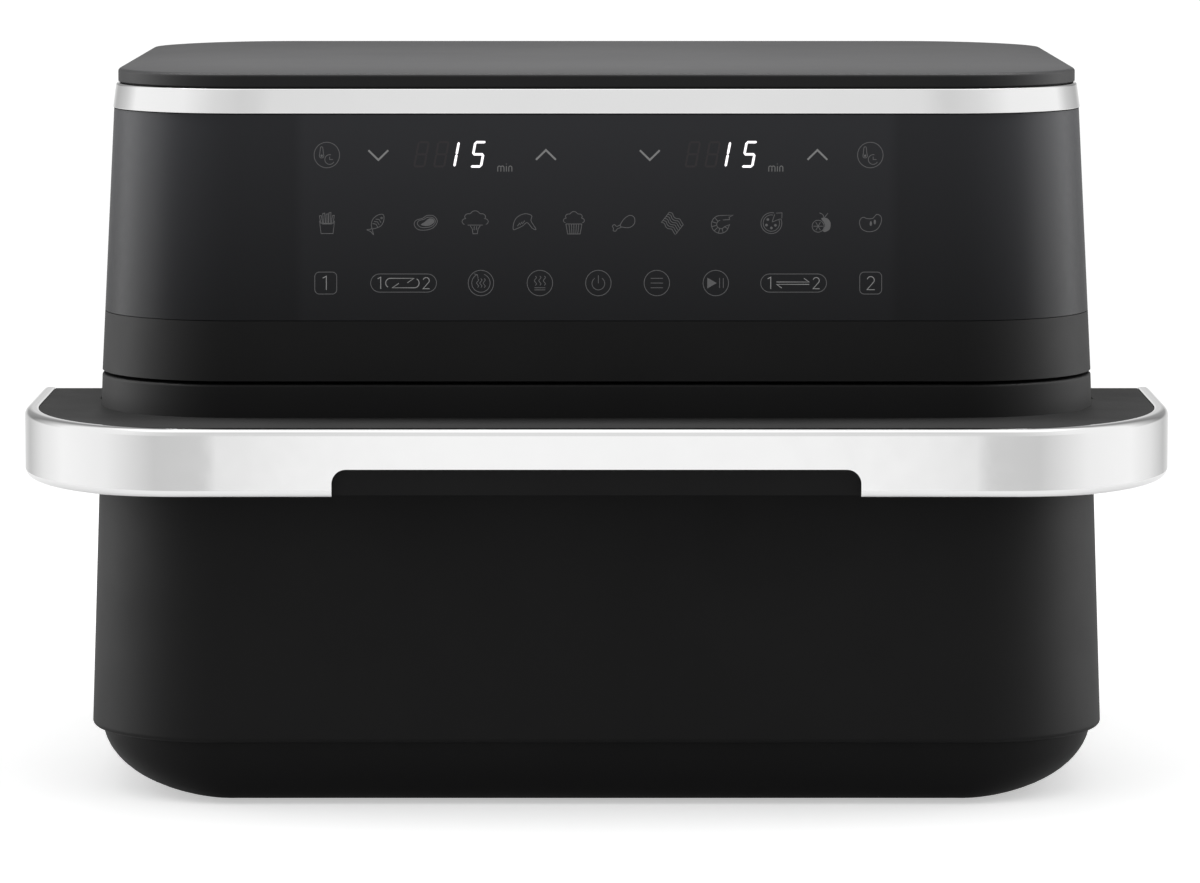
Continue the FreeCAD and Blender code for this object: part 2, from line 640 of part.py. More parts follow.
def make_cutout(side):
    """Thermal cut-out disc on top of the ceiling."""
    x, y, z = side * (ZONE_X + 62), MOUTH_Y + 40, CEILING_Z + SHEET + 0.02
    cap = rod(8, x, y, z, z + 6)
    base = box(x - 12, x + 12, y - 5, y + 5, z, z + 1.2)
    tabs = [box(x + dx - 1.5, x + dx + 1.5, y - 0.4, y + 0.4, z + 5, z + 13) for dx in (-4, 4)]
    return fuse([cap, base] + tabs)


SWITCH_X, SWITCH_Z = 150.0, 174.0
SWITCH_BORE_R = 2.4
PLUNGER_R = 2.2


def make_switch_body():
    """Door switch behind the mouth frame; the drawer's inner panel presses its plunger."""
    y0 = MOUTH_Y + 3.1
    bracket = box(SWITCH_X - 10, SWITCH_X + 10, y0, y0 + 1.5, SWITCH_Z - 4.6, SWITCH_Z + 6.8)
    return bracket.cut(rod_y(PLUNGER_R + 0.05, SWITCH_X, SWITCH_Z, y0 - 1, y0 + 3))


def make_plunger():
    """Spring plunger, held just clear of the closed drawer's inner panel."""
    pin = rod_y(PLUNGER_R, SWITCH_X, SWITCH_Z, DRAWER_PANEL_Y[1] + 0.12, MOUTH_Y + 4.2)
    return soften(pin, 0.8, lambda e: e.BoundBox.YMax < DRAWER_PANEL_Y[1] + 0.2)


# ---------------------------------------------------------------- drawer
HANDLE_POSTS = [(sx * x, 152.0) for sx in (-1, 1) for x in (126.0, 148.0)]
POST_R = 5.0
HANDLE_WALL = 3.6
LINING_WALL = 3.0
LIP_WIDTH = (6.0, 4.4)         # turned-in top lip of the band, at the sides and at the front
LIP_THICK = 1.8
PLATE_THICK = 3.0
WING_INNER_X = 217.4


def make_drawer_front():
    """Deep front cap of the drawer, curved round both corners, with a closed top edge."""
    wall = body_wall(DRAWER_BOTTOM_Z, DRAWER_TOP_Z, 0.0, WALL)
    wall = wall.cut(box(-FAR, FAR, DRAWER_REAR_Y, FAR, 0, 400))
    top = body_block(DRAWER_TOP_Z - WALL, DRAWER_TOP_Z, WALL)
    top = top.cut(box(-FAR, FAR, DRAWER_PANEL_Y[0], FAR, 0, 400))
    cap = fuse([wall, top])
    cap = soften(cap, 1.2, lambda e: level_edges(DRAWER_BOTTOM_Z)(e) and e.BoundBox.YMax < DRAWER_REAR_Y + 1
                 and on_outside(e))
    for x, z in HANDLE_POSTS:
        cap = cap.cut(rod_y(2.2, x, z, -160, -140))
    return cap


def on_outside(edge):
    """True for an edge of the body's outer skin rather than its inner one."""
    half, front, rear = body_level(edge.BoundBox.ZMin)
    middle = edge.valueAt((edge.FirstParameter + edge.LastParameter) / 2)
    a, b = BODY_CORNER
    x, y = abs(middle.x), middle.y
    if y > front + b:
        return abs(x - half) < 0.6
    if x < half - a:
        return abs(y - front) < 0.6
    radial = math.hypot((x - half + a) / a, (y - front - b) / b)
    return abs(radial - 1) < 0.012


def make_drawer_panel():
    """Upright inner panel of the drawer, which the pan hangs on."""
    block = body_block(36.0, DRAWER_TOP_Z - WALL - 0.05, WALL + 0.1)
    y0, y1 = DRAWER_PANEL_Y
    panel = block.common(box(-FAR, FAR, y0, y1, 0, 400))
    ribs = [box(x - 1.2, x + 1.2, y0 - 24, y0 + 0.5, 40, 120) for x in (-110, -40, 40, 110)]
    ribs = [r.common(body_block(36.0, 130.0, WALL + 0.4)) for r in ribs]
    return fuse([panel] + ribs)


def make_drawer_seal():
    """Silicone seal between the drawer's panel and the mouth frame."""
    x = MOUTH_HALF_WIDTH
    y0 = DRAWER_PANEL_Y[1] + 0.02
    ring = box(-x - 4, x + 4, y0, y0 + 2.6, MOUTH_Z[0] - 4, MOUTH_Z[1] + 4 - 1.0)
    ring = ring.cut(box(-x + 0.4, x - 0.4, y0 - 1, y0 + 5, MOUTH_Z[0] + 0.4, MOUTH_Z[1] - 0.6))
    ring = ring.common(body_block(BASE_TOP_Z + 1, HOUSING_BOTTOM_Z - 0.4, SLEEVE_INSET + 3))
    return ring.cut(rod_y(4.0, SWITCH_X, SWITCH_Z, y0 - 5, y0 + 10))


def make_pan():
    """Non-stick drawer pan with a rolled rim."""
    x, w = PAN_HALF_WIDTH, PAN_WALL
    outer = rounded_box(-x, x, PAN_FRONT_Y, PAN_REAR_Y, PAN_BOTTOM_Z, PAN_RIM_Z, PAN_CORNER_R)
    outer = soften(outer, 12.0, level_edges(PAN_BOTTOM_Z))
    inner = rounded_box(-x + w, x - w, PAN_FRONT_Y + w, PAN_REAR_Y - w, PAN_BOTTOM_Z + w, PAN_RIM_Z + 20,
                        PAN_CORNER_R - w)
    inner = soften(inner, 12.0 - w, level_edges(PAN_BOTTOM_Z + w))
    rim = rounded_box(-x - RIM_WIDTH, x + RIM_WIDTH, PAN_FRONT_Y, PAN_REAR_Y + RIM_WIDTH, PAN_RIM_Z - w,
                      PAN_RIM_Z, PAN_CORNER_R)
    return fuse([outer, rim]).cut(inner)


PLATE_Z = 70.0
PLATE_SHEET = 1.2
PLATE_HEIGHT = 7.0
PLATE_CORNER_R = 28.0
PLATE_EDGE_GAP = 2.6
DIVIDER_HALF = 4.0


def plate_box():
    """x0, x1, y0, y1 of the right-hand crisper plate."""
    gap = PAN_WALL + PLATE_EDGE_GAP
    return DIVIDER_HALF + 2.0, PAN_HALF_WIDTH - gap, PAN_FRONT_Y + gap, PAN_REAR_Y - gap


def make_crisper_plate(side):
    """Pressed plate with a turned-down edge and rows of air holes."""
    x0, x1, y0, y1 = plate_box()
    z1 = PLATE_Z + PLATE_HEIGHT
    outer = rounded_box(x0, x1, y0, y1, PLATE_Z, z1, 10.0)
    corner = outer.common(rounded_box(-x1, x1, y0, y1, PLATE_Z - 1, z1 + 1, PLATE_CORNER_R))
    outer = soften(corner, 2.0, level_edges(z1))
    s = PLATE_SHEET
    inner = box(x0 + s, x1 - s, y0 + s, y1 - s, PLATE_Z - 1, z1 - s)
    inner = inner.common(rounded_box(-x1 + s, x1 - s, y0 + s, y1 - s, PLATE_Z - 2, z1, PLATE_CORNER_R - s))
    plate = outer.cut(inner)
    holes = []
    columns, rows, edge = 7, 11, 20.0
    for i in range(columns):
        for j in range(rows):
            x = x0 + edge + (x1 - x0 - 2 * edge) * i / (columns - 1)
            y = y0 + edge + (y1 - y0 - 2 * edge) * j / (rows - 1)
            holes.append(rod(4.0, x, y, z1 - 5, z1 + 3))
    plate = plate.cut(Part.makeCompound(holes))
    stand_z = PAN_BOTTOM_Z + PAN_WALL + 0.3
    stands = [rod(4.6, x, y, stand_z, z1 - 0.2) for x in (x0 + 30, x1 - 30) for y in (y0 + 30, y1 - 30)]
    plate = fuse([plate] + stands)
    return plate if side > 0 else mirrored(plate)


BUMPER_PLACES = ((0.0, 0.25), (0.0, 0.75), (1.0, 0.25), (1.0, 0.75))


def make_bumpers(side):
    """Silicone bumpers clipped round the plate's edge."""
    x0, x1, y0, y1 = plate_box()
    bumpers = []
    for u, v in BUMPER_PLACES:
        edge = x0 + (x1 - x0) * u
        y = y0 + (y1 - y0) * v
        out = -1 if u == 0.0 else 1
        a, b = sorted((edge + out * 0.02, edge + out * 1.6))
        block = box(a, b, y - 9, y + 9, PLATE_Z - 2.5, PLATE_Z + 5.0)
        foot_a, foot_b = sorted((edge - out * 4.0, edge + out * 1.6))
        foot = box(foot_a, foot_b, y - 9, y + 9, PLATE_Z - 4.0, PLATE_Z - 0.02)
        bumpers.append(soften(fuse([block, foot]), 0.7, lambda e: abs(e.BoundBox.ZMax - e.BoundBox.ZMin) > 2))
    bumpers = group(bumpers)
    return bumpers if side > 0 else mirrored(bumpers)


DIVIDER_TOP_Z = 160.0
DIVIDER_BOTTOM_Z = PAN_BOTTOM_Z + PAN_WALL + 0.4


def make_divider():
    """Lift-out wall between the zones, with a finger hole near the top."""
    y0, y1 = PAN_FRONT_Y + PAN_WALL + 3.0, PAN_REAR_Y - PAN_WALL - 3.0
    z0, z1 = DIVIDER_BOTTOM_Z, DIVIDER_TOP_Z
    wall = slab_facing_x(y0, y1, z0, z1 + 20, -2.0, 2.0, 11.0).common(box(-5, 5, y0, y1, z0, z1))
    foot = box(-DIVIDER_HALF, DIVIDER_HALF, y0 + 12, y1 - 12, z0, z0 + 6)
    cap = box(-DIVIDER_HALF, DIVIDER_HALF, y0, y1, z1 - 5, z1)
    hole = slab_facing_x(FAN_Y - 30, FAN_Y + 30, 128, 146, -10, 10, 8.0)
    return fuse([wall, foot, cap]).cut(hole)


def make_divider_seals():
    """Silicone strips on the divider's two ends."""
    y0, y1 = PAN_FRONT_Y + PAN_WALL + 3.0, PAN_REAR_Y - PAN_WALL - 3.0
    strips = [box(-3.0, 3.0, a, b, DIVIDER_BOTTOM_Z + 14, DIVIDER_TOP_Z - 6)
              for a, b in ((y0 - 2.4, y0 - 0.02), (y1 + 0.02, y1 + 2.4))]
    return group(soften(s, 0.9, lambda e: e.BoundBox.ZLength > 20) for s in strips)


# ---------------------------------------------------------------- handle
def make_handle_band():
    """Bright wrap-around band with a turned-in top lip and a finger cut-out."""
    low, high = HANDLE_BOTTOM_Z, HANDLE_TOP_Z
    rounding = ((2.6, 0.0), (0.8, 0.8), (0.0, 2.6))          # inset, distance from the edge
    levels = [(inset, low + rise) for inset, rise in rounding]
    levels += [(inset, high - drop) for inset, drop in rounding[::-1]]
    sections = [handle_outline(inset, inset, z) for inset, z in levels]
    band = wings_cut(Part.makeLoft(sections, True, True), low, high)
    wall = HANDLE_WALL
    band = band.cut(handle_prism(wall, wall, HANDLE_BOTTOM_Z - 5, HANDLE_TOP_Z - LIP_THICK))
    band = band.cut(handle_prism(*LIP_WIDTH, HANDLE_BOTTOM_Z - 5, HANDLE_TOP_Z + 5))
    x = CUTOUT_HALF_WIDTH
    cutout = slab_facing_y(-x, x, HANDLE_BOTTOM_Z - 20, CUTOUT_TOP_Z, HANDLE_FRONT_Y - 5, HANDLE_FRONT_Y + 9,
                           CUTOUT_CORNER_R)
    return band.cut(cutout)


def make_handle_plate():
    """Top shelf of the handle, inside the band's lip."""
    z1 = HANDLE_TOP_Z - 0.5
    plate = handle_prism(LIP_WIDTH[0] + 0.05, LIP_WIDTH[1] + 0.05, z1 - PLATE_THICK, z1)
    return plate.cut(handle_clearing(z1 - PLATE_THICK - 1, z1 + 1))


def make_handle_lining():
    """Under-structure of the handle: inner wall, wing channels and screw posts."""
    z0, z1 = HANDLE_BOTTOM_Z + 0.2, HANDLE_TOP_Z - 0.5 - PLATE_THICK - 0.02
    outer = HANDLE_WALL + 0.05
    inner = outer + LINING_WALL
    ring = handle_prism(outer, outer, z0, z1).cut(handle_prism(inner, inner, z0 - 1, z1 + 1))
    parts = [ring]
    edge_x = HANDLE_HALF_WIDTH - outer
    for side in (-1, 1):
        x0, x1 = sorted((side * WING_INNER_X, side * (WING_INNER_X + LINING_WALL)))
        parts.append(box(x0, x1, DRAWER_REAR_Y, HANDLE_REAR_Y, z0, z1))
        x0, x1 = sorted((side * WING_INNER_X, side * edge_x))
        parts.append(box(x0, x1, HANDLE_REAR_Y - LINING_WALL, HANDLE_REAR_Y, z0, z1))
        x0, x1 = sorted((side * 205.0, side * edge_x))
        parts.append(box(x0, x1, DRAWER_REAR_Y - 1, DRAWER_REAR_Y + 2, z0, z1))
    for x, z in HANDLE_POSTS:
        parts.append(rod_y(POST_R, x, z, HANDLE_FRONT_Y + outer + 1, -145.0))
    lining = fuse(parts).cut(handle_clearing(z0 - 1, z1 + 1))
    for x, z in HANDLE_POSTS:
        lining = lining.cut(rod_y(2.05, x, z, -172, -140))
    return lining


def make_handle_screws():
    """Four screws from inside the drawer front into the handle's posts."""
    screws = []
    for x, z in HANDLE_POSTS:
        inner_face = body_level(z)[1] + WALL
        shank = rod_y(2.0, x, z, inner_face - 18, inner_face + 1)
        head = rod_y(4.2, x, z, inner_face + 0.12, inner_face + 2.8)
        screws.append(fuse([shank, head]))
    return group(screws)


# ---------------------------------------------------------------- everything, by node
def make_all():
    nodes = {
        "base_pan": make_base_pan(),
        "base_screws": make_base_screws(),
        "side_shell": make_side_shell(),
        "front_sleeve": make_front_sleeve(),
        "mouth_frame": make_mouth_frame(),
        "upper_housing": make_upper_housing(),
        "control_fascia": make_fascia(),
        "housing_deck": make_deck(),
        "chrome_band": make_chrome_band(),
        "top_cover": make_cover(),
        "rear_grille": make_rear_grille(),
        "cord_gland": make_cord_gland(),
        "cavity_liner": make_liner(),
        "chamber_partition": make_partition(),
        "motor_deck": make_motor_deck(),
        "motor_screws": make_motor_screws(),
        "control_board": make_control_board(),
        "power_board": make_power_board(),
        "drawer_switch": make_switch_body(),
        "switch_plunger": make_plunger(),
        "drawer_front": make_drawer_front(),
        "drawer_panel": make_drawer_panel(),
        "drawer_seal": make_drawer_seal(),
        "drawer_pan": make_pan(),
        "divider": make_divider(),
        "divider_seals": make_divider_seals(),
        "handle_band": make_handle_band(),
        "handle_plate": make_handle_plate(),
        "handle_lining": make_handle_lining(),
        "handle_screws": make_handle_screws(),
    }
    for name, (x, y) in zip(("foot_front_left", "foot_rear_left", "foot_front_right", "foot_rear_right"),
                            FOOT_PLACES):
        nodes[name] = make_foot(x, y)
    for word, side in (("left", -1), ("right", 1)):
        cx = side * ZONE_X
        nodes[f"slide_rail_{word}"] = make_rail(side)
        nodes[f"heater_guard_{word}"] = make_guard(side)
        nodes[f"heater_coil_{word}"] = make_heater(side)
        nodes[f"fan_motor_{word}"] = make_motor(side)
        nodes[f"motor_shaft_{word}"] = make_shaft(side)
        nodes[f"fan_nut_{word}"] = make_fan_nut(side)
        nodes[f"convection_fan_{word}"] = make_fan(cx, *CONVECTION_FAN_Z, 46.0, 12.0, 8, 18.0)
        nodes[f"cooling_fan_{word}"] = make_fan(cx, *COOLING_FAN_Z, 50.0, 10.0, 9, -22.0)
        nodes[f"display_{word}"] = make_display(side)
        nodes[f"temperature_probe_{word}"] = make_sensor(side)
        nodes[f"thermal_cutout_{word}"] = make_cutout(side)
        nodes[f"crisper_plate_{word}"] = make_crisper_plate(side)
        nodes[f"plate_bumpers_{word}"] = make_bumpers(side)
    return nodes


def main():
    os.makedirs("parts", exist_ok=True)
    for stale in os.listdir("parts"):
        os.remove(os.path.join("parts", stale))
    for name, shape in make_all().items():
        if not shape.isValid() or not shape.Solids:
            print("NOT VALID:", name)
        if shape.ShapeType == "Compound" and len(shape.Solids) == 1:
            shape = shape.Solids[0]
        shape.exportStep(f"parts/{name}.step")
        print(f"{name}: {len(shape.Solids)} solid(s), {shape.Volume / 1000:.1f} cm3")


main()
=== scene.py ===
"""Looks of a dual-zone air fryer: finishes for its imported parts, and finer pieces where it shows most."""
import json
import math

import bmesh
import bpy
from bpy.props import FloatProperty, FloatVectorProperty, IntProperty, PointerProperty
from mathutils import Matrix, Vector

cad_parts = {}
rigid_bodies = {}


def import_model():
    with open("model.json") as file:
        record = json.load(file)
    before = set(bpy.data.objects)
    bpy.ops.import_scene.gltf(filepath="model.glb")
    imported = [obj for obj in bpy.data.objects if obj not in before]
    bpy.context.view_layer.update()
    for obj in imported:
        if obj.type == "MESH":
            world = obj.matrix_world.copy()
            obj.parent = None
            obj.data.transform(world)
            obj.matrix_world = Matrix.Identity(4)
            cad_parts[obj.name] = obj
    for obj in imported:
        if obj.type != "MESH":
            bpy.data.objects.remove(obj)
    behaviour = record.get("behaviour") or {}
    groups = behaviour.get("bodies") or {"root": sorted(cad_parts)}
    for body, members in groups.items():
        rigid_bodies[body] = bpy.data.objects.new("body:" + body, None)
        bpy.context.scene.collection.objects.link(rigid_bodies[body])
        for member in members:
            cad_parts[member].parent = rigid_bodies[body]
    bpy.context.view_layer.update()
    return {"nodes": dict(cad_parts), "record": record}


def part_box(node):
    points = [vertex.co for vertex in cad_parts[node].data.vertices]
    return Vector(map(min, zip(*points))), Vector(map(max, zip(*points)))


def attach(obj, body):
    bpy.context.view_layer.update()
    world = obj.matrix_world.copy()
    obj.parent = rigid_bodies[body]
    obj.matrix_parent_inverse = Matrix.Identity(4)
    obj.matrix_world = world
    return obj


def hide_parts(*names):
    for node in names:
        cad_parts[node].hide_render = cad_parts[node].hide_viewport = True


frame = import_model()

bl_info = {
    "name": "Air Fryer Looks",
    "version": (1, 0, 0),
    "blender": (4, 5, 0),
    "location": "3D View > Sidebar > Air Fryer",
    "description": "Finishes and detailed pieces of a dual-zone air fryer, built round its packed parts",
    "category": "Object",
}

MM = 0.001

# ------------------------------------------------------------------ places, from the frame
DRAWER_LOW, DRAWER_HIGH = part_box("drawer_front")
HOUSING_LOW, HOUSING_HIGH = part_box("upper_housing")
FASCIA_LOW, FASCIA_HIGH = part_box("control_fascia")
TRIM_LOW, TRIM_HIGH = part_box("chrome_band")
COVER_LOW, COVER_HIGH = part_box("top_cover")
HANDLE_LOW, HANDLE_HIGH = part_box("handle_band")

# height, half width and front of the body's outside, which leans in between these levels
BODY_LEVELS = (
    (DRAWER_LOW.z, DRAWER_HIGH.x, DRAWER_LOW.y),
    (HOUSING_LOW.z, HOUSING_HIGH.x, HOUSING_LOW.y),
    (HOUSING_HIGH.z, COVER_HIGH.x + 1.9 * MM, COVER_LOW.y - 1.2 * MM),
)
BODY_CORNER = (59 * MM, 64 * MM)          # each corner's reach across and back
COVER_CORNER = (57 * MM, 62 * MM)
HANDLE_CORNER = (74 * MM, 106 * MM)
TRIM_LEAN = 1.4 * MM            # how far the trim band leans in over its height
SHELL_WALL = 3.0 * MM
REFLECTION_HALF_WIDTH = 126 * MM    # half width of the fascia's flat middle, over which its painted reflection is lightest
BAND_DROP = 0.8 * MM            # how far the bright band reaches below the handle's own lower edge
LIGHT_AIM = 0.17                # height at the object's middle that the soft lights face

ARC_STEPS = 28                  # steps round a corner, along the face and along a side
FACE_STEPS = 24
SIDE_STEPS = 8
FLAT_GUARD = 0.06 * MM          # a narrow strip beside each rounding, so that flats stay flat when shaded


def body_level(z):
    """Half width and front y of the body's outside at height z."""
    low, middle, high = BODY_LEVELS
    start, end = (low, middle) if z < middle[0] else (middle, high)
    share = (z - start[0]) / (end[0] - start[0])
    return tuple(start[i] + (end[i] - start[i]) * share for i in (1, 2))


# ------------------------------------------------------------------ mesh tools
def front_path(half, front, corner, end_y, z):
    """Points from the right-hand side at end_y, round the front, to the left-hand side at end_y."""
    a, b = corner
    turn_y = front + b
    right = [Vector((half, end_y + (turn_y - end_y) * i / SIDE_STEPS, z)) for i in range(SIDE_STEPS)]
    for i in range(ARC_STEPS):
        t = math.pi / 2 * i / ARC_STEPS
        right.append(Vector((half - a + a * math.cos(t), turn_y - b * math.sin(t), z)))
    face = [Vector(((half - a) * (1 - 2 * i / FACE_STEPS), front, z)) for i in range(FACE_STEPS + 1)]
    left = [Vector((-p.x, p.y, z)) for p in reversed(right)]
    return right + face + left


def full_path(half, front, rear, corner, z):
    """Points round a rounded rectangle with elliptical corners."""
    middle_y = (front + rear) / 2
    fore = front_path(half, front, corner, middle_y, z)
    aft = [Vector((-p.x, 2 * middle_y - p.y, z)) for p in fore]
    return fore[:-1] + aft[:-1]


def rounded_profile(corners, steps=5):
    """Closed profile of (inset, z) points from corners given as (inset, z, radius)."""
    points = []
    for i, (u, z, radius) in enumerate(corners):
        here = Vector((u, z))
        if radius <= 0:
            points.append(here)
            continue
        to_before = (Vector(corners[i - 1][:2]) - here).normalized()
        to_after = (Vector(corners[(i + 1) % len(corners)][:2]) - here).normalized()
        half_angle = to_before.angle(to_after) / 2
        reach = radius / math.tan(half_angle)
        centre = here + (to_before + to_after).normalized() * radius / math.sin(half_angle)
        first, last = here + to_before * reach - centre, here + to_after * reach - centre
        points.append(centre + first + to_before * FLAT_GUARD)
        for step in range(steps + 1):
            points.append(centre + first.slerp(last, step / steps) * radius)
        points.append(centre + last + to_after * FLAT_GUARD)
    return points


def skin(name, rings, ring_closed, profile_closed, caps=()):
    """A mesh through rings of equally many points; caps names the ring numbers that are filled flat."""
    mesh = bmesh.new()
    grid = [[mesh.verts.new(p) for p in ring] for ring in rings]
    count = len(rings[0])
    pairs = list(zip(grid, grid[1:] + grid[:1])) if profile_closed else list(zip(grid, grid[1:]))
    for low, high in pairs:
        for i in range(count if ring_closed else count - 1):
            j = (i + 1) % count
            mesh.faces.new((low[i], low[j], high[j], high[i]))
    if profile_closed and not ring_closed:
        for i in (0, count - 1):
            mesh.faces.new([ring[i] for ring in grid])
    for number in caps:
        mesh.faces.new(grid[number])
    bmesh.ops.remove_doubles(mesh, verts=mesh.verts, dist=1e-6)
    bmesh.ops.recalc_face_normals(mesh, faces=mesh.faces)
    return mesh_object(name, mesh)


def mesh_object(name, mesh, sharp_angle=38):
    """Turns a bmesh into a smooth-shaded object whose edges are sharp where faces meet steeply."""
    data = bpy.data.meshes.new(name)
    mesh.to_mesh(data)
    mesh.free()
    piece = bpy.data.objects.new(name, data)
    bpy.context.scene.collection.objects.link(piece)
    shade(data, sharp_angle)
    return piece


def shade(data, sharp_angle=38):
    data.polygons.foreach_set("use_smooth", [True] * len(data.polygons))
    data.set_sharp_from_angle(angle=math.radians(sharp_angle))


def apply_modifiers(piece):
    """Replaces a piece's mesh by what its modifiers make of it."""
    bpy.context.view_layer.update()
    shown = piece.evaluated_get(bpy.context.evaluated_depsgraph_get())
    data = bpy.data.meshes.new_from_object(shown)
    piece.modifiers.clear()
    piece.data = data


def cut_away(piece, cutter):
    """Cuts one mesh out of another and removes the cutter."""
    boolean = piece.modifiers.new("Cut", "BOOLEAN")
    boolean.operation = "DIFFERENCE"
    boolean.solver = "EXACT"
    boolean.object = cutter
    apply_modifiers(piece)
    bpy.data.objects.remove(cutter)


def settle(piece, body, material, stands_for=()):
    """Gives a piece its material, the body that it rides on and the parts that it stands for."""
    piece.data.materials.clear()
    piece.data.materials.append(material)
    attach(piece, body)
    if stands_for:
        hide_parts(*stands_for)
    return piece


# ------------------------------------------------------------------ shader groups
def group_with(name, inputs, outputs):
    """A new shader node group, its input node and its output node."""
    tree = bpy.data.node_groups.new(name, "ShaderNodeTree")
    for label, value in inputs:
        socket = tree.interface.new_socket(label, in_out="INPUT", socket_type="NodeSocketFloat")
        socket.default_value = value
    for label in outputs:
        tree.interface.new_socket(label, in_out="OUTPUT", socket_type="NodeSocketFloat")
    return tree, tree.nodes.new("NodeGroupInput"), tree.nodes.new("NodeGroupOutput")


def math_node(tree, operation, first, second=None, clamp=False):
    """A Math node fed by sockets or plain numbers; gives its output socket."""
    node = tree.nodes.new("ShaderNodeMath")
    node.operation = operation
    node.use_clamp = clamp
    for socket, value in zip(node.inputs, (first, second)):
        if isinstance(value, bpy.types.NodeSocket):
            tree.links.new(value, socket)
        elif value is not None:
            socket.default_value = value
    return node.outputs[0]


def noise_node(tree, vector, scale, detail=2.0, roughness=0.5):
    node = tree.nodes.new("ShaderNodeTexNoise")
    tree.links.new(vector, node.inputs["Vector"])
    if isinstance(scale, bpy.types.NodeSocket):
        tree.links.new(scale, node.inputs["Scale"])
    else:
        node.inputs["Scale"].default_value = scale
    node.inputs["Detail"].default_value = detail
    node.inputs["Roughness"].default_value = roughness
    return node.outputs["Fac"]


def spread(tree, value, low, high, to_low=0.0, to_high=1.0):
    """A Map Range node, clamped; gives its output socket."""
    node = tree.nodes.new("ShaderNodeMapRange")
    tree.links.new(value, node.inputs["Value"])
    for label, number in (("From Min", low), ("From Max", high), ("To Min", to_low), ("To Max", to_high)):
        node.inputs[label].default_value = number
    return node.outputs["Result"]


def make_moulded_grain():
    """Grain of a moulded surface: Height for a Bump node, and Pits, which is 1 in its hollows."""
    inputs = (("Grain Size", 0.5 * MM), ("Cells", 0.5))
    tree, given, out = group_with("Moulded Grain", inputs, ("Height", "Pits"))
    place = tree.nodes.new("ShaderNodeTexCoord").outputs["Object"]
    per_metre = math_node(tree, "DIVIDE", 1.0, given.outputs["Grain Size"])
    noise = noise_node(tree, place, per_metre, 3.0, 0.6)
    cells = tree.nodes.new("ShaderNodeTexVoronoi")
    cells.feature = "SMOOTH_F1"
    tree.links.new(place, cells.inputs["Vector"])
    tree.links.new(math_node(tree, "MULTIPLY", per_metre, 0.8), cells.inputs["Scale"])
    dents = math_node(tree, "MULTIPLY", cells.outputs["Distance"], given.outputs["Cells"])
    height = math_node(tree, "ADD", noise, dents)
    tree.links.new(height, out.inputs["Height"])
    tree.links.new(spread(tree, height, 0.75, 0.35), out.inputs["Pits"])
    return tree


def make_handling_marks():
    """Soft uneven patches, as wiping and handling leave; Marks is 1 in a patch, Haze is finer and fainter."""
    tree, given, out = group_with("Handling Marks", (("Patch Size", 60 * MM),), ("Marks", "Haze"))
    place = tree.nodes.new("ShaderNodeTexCoord").outputs["Object"]
    per_metre = math_node(tree, "DIVIDE", 1.0, given.outputs["Patch Size"])
    patches = noise_node(tree, place, per_metre, 4.0, 0.55)
    tree.links.new(spread(tree, patches, 0.35, 0.7), out.inputs["Marks"])
    finer = math_node(tree, "MULTIPLY", per_metre, 9.0)
    tree.links.new(noise_node(tree, place, finer, 5.0, 0.7), out.inputs["Haze"])
    return tree


def make_drawn_lines():
    """Fine lines left by rolling or brushing along X; Height for a Bump node, Streaks for roughness."""
    tree, given, out = group_with("Drawn Lines", (("Line Pitch", 0.4 * MM),), ("Height", "Streaks"))
    place = tree.nodes.new("ShaderNodeTexCoord").outputs["Object"]
    stretched = tree.nodes.new("ShaderNodeVectorMath")
    stretched.operation = "MULTIPLY"
    tree.links.new(place, stretched.inputs[0])
    stretched.inputs[1].default_value = (0.02, 1.0, 1.0)
    per_metre = math_node(tree, "DIVIDE", 1.0, given.outputs["Line Pitch"])
    lines = noise_node(tree, stretched.outputs[0], per_metre, 2.0, 0.5)
    tree.links.new(lines, out.inputs["Height"])
    tree.links.new(spread(tree, lines, 0.3, 0.7), out.inputs["Streaks"])
    return tree


def add_group(tree, group_name, values):
    """Places a shader group in a material with its own values."""
    node = tree.nodes.new("ShaderNodeGroup")
    node.node_tree = bpy.data.node_groups[group_name]
    for label, value in values.items():
        node.inputs[label].default_value = value
    return node


# ------------------------------------------------------------------ finishes
def blank_material(name, roughness=0.5, metallic=0.0, specular=0.5):
    material = bpy.data.materials.new(name)
    material.use_nodes = True
    shader = material.node_tree.nodes["Principled BSDF"]
    shader.inputs["Roughness"].default_value = roughness
    shader.inputs["Metallic"].default_value = metallic
    shader.inputs["Specular IOR Level"].default_value = specular
    return material, material.node_tree, shader


def blend_colours(tree, share, colour, other):
    node = tree.nodes.new("ShaderNodeMix")
    node.data_type = "RGBA"
    tree.links.new(share, node.inputs["Factor"])
    node.inputs["A"].default_value = (*colour, 1)
    node.inputs["B"].default_value = (*other, 1)
    return node.outputs["Result"]


def shifted(colour, factor):
    return tuple(channel * factor for channel in colour)


def add_bump(tree, shader, height, depth):
    bump = tree.nodes.new("ShaderNodeBump")
    bump.inputs["Strength"].default_value = 1.0
    bump.inputs["Distance"].default_value = depth
    tree.links.new(height, bump.inputs["Height"])
    tree.links.new(bump.outputs["Normal"], shader.inputs["Normal"])


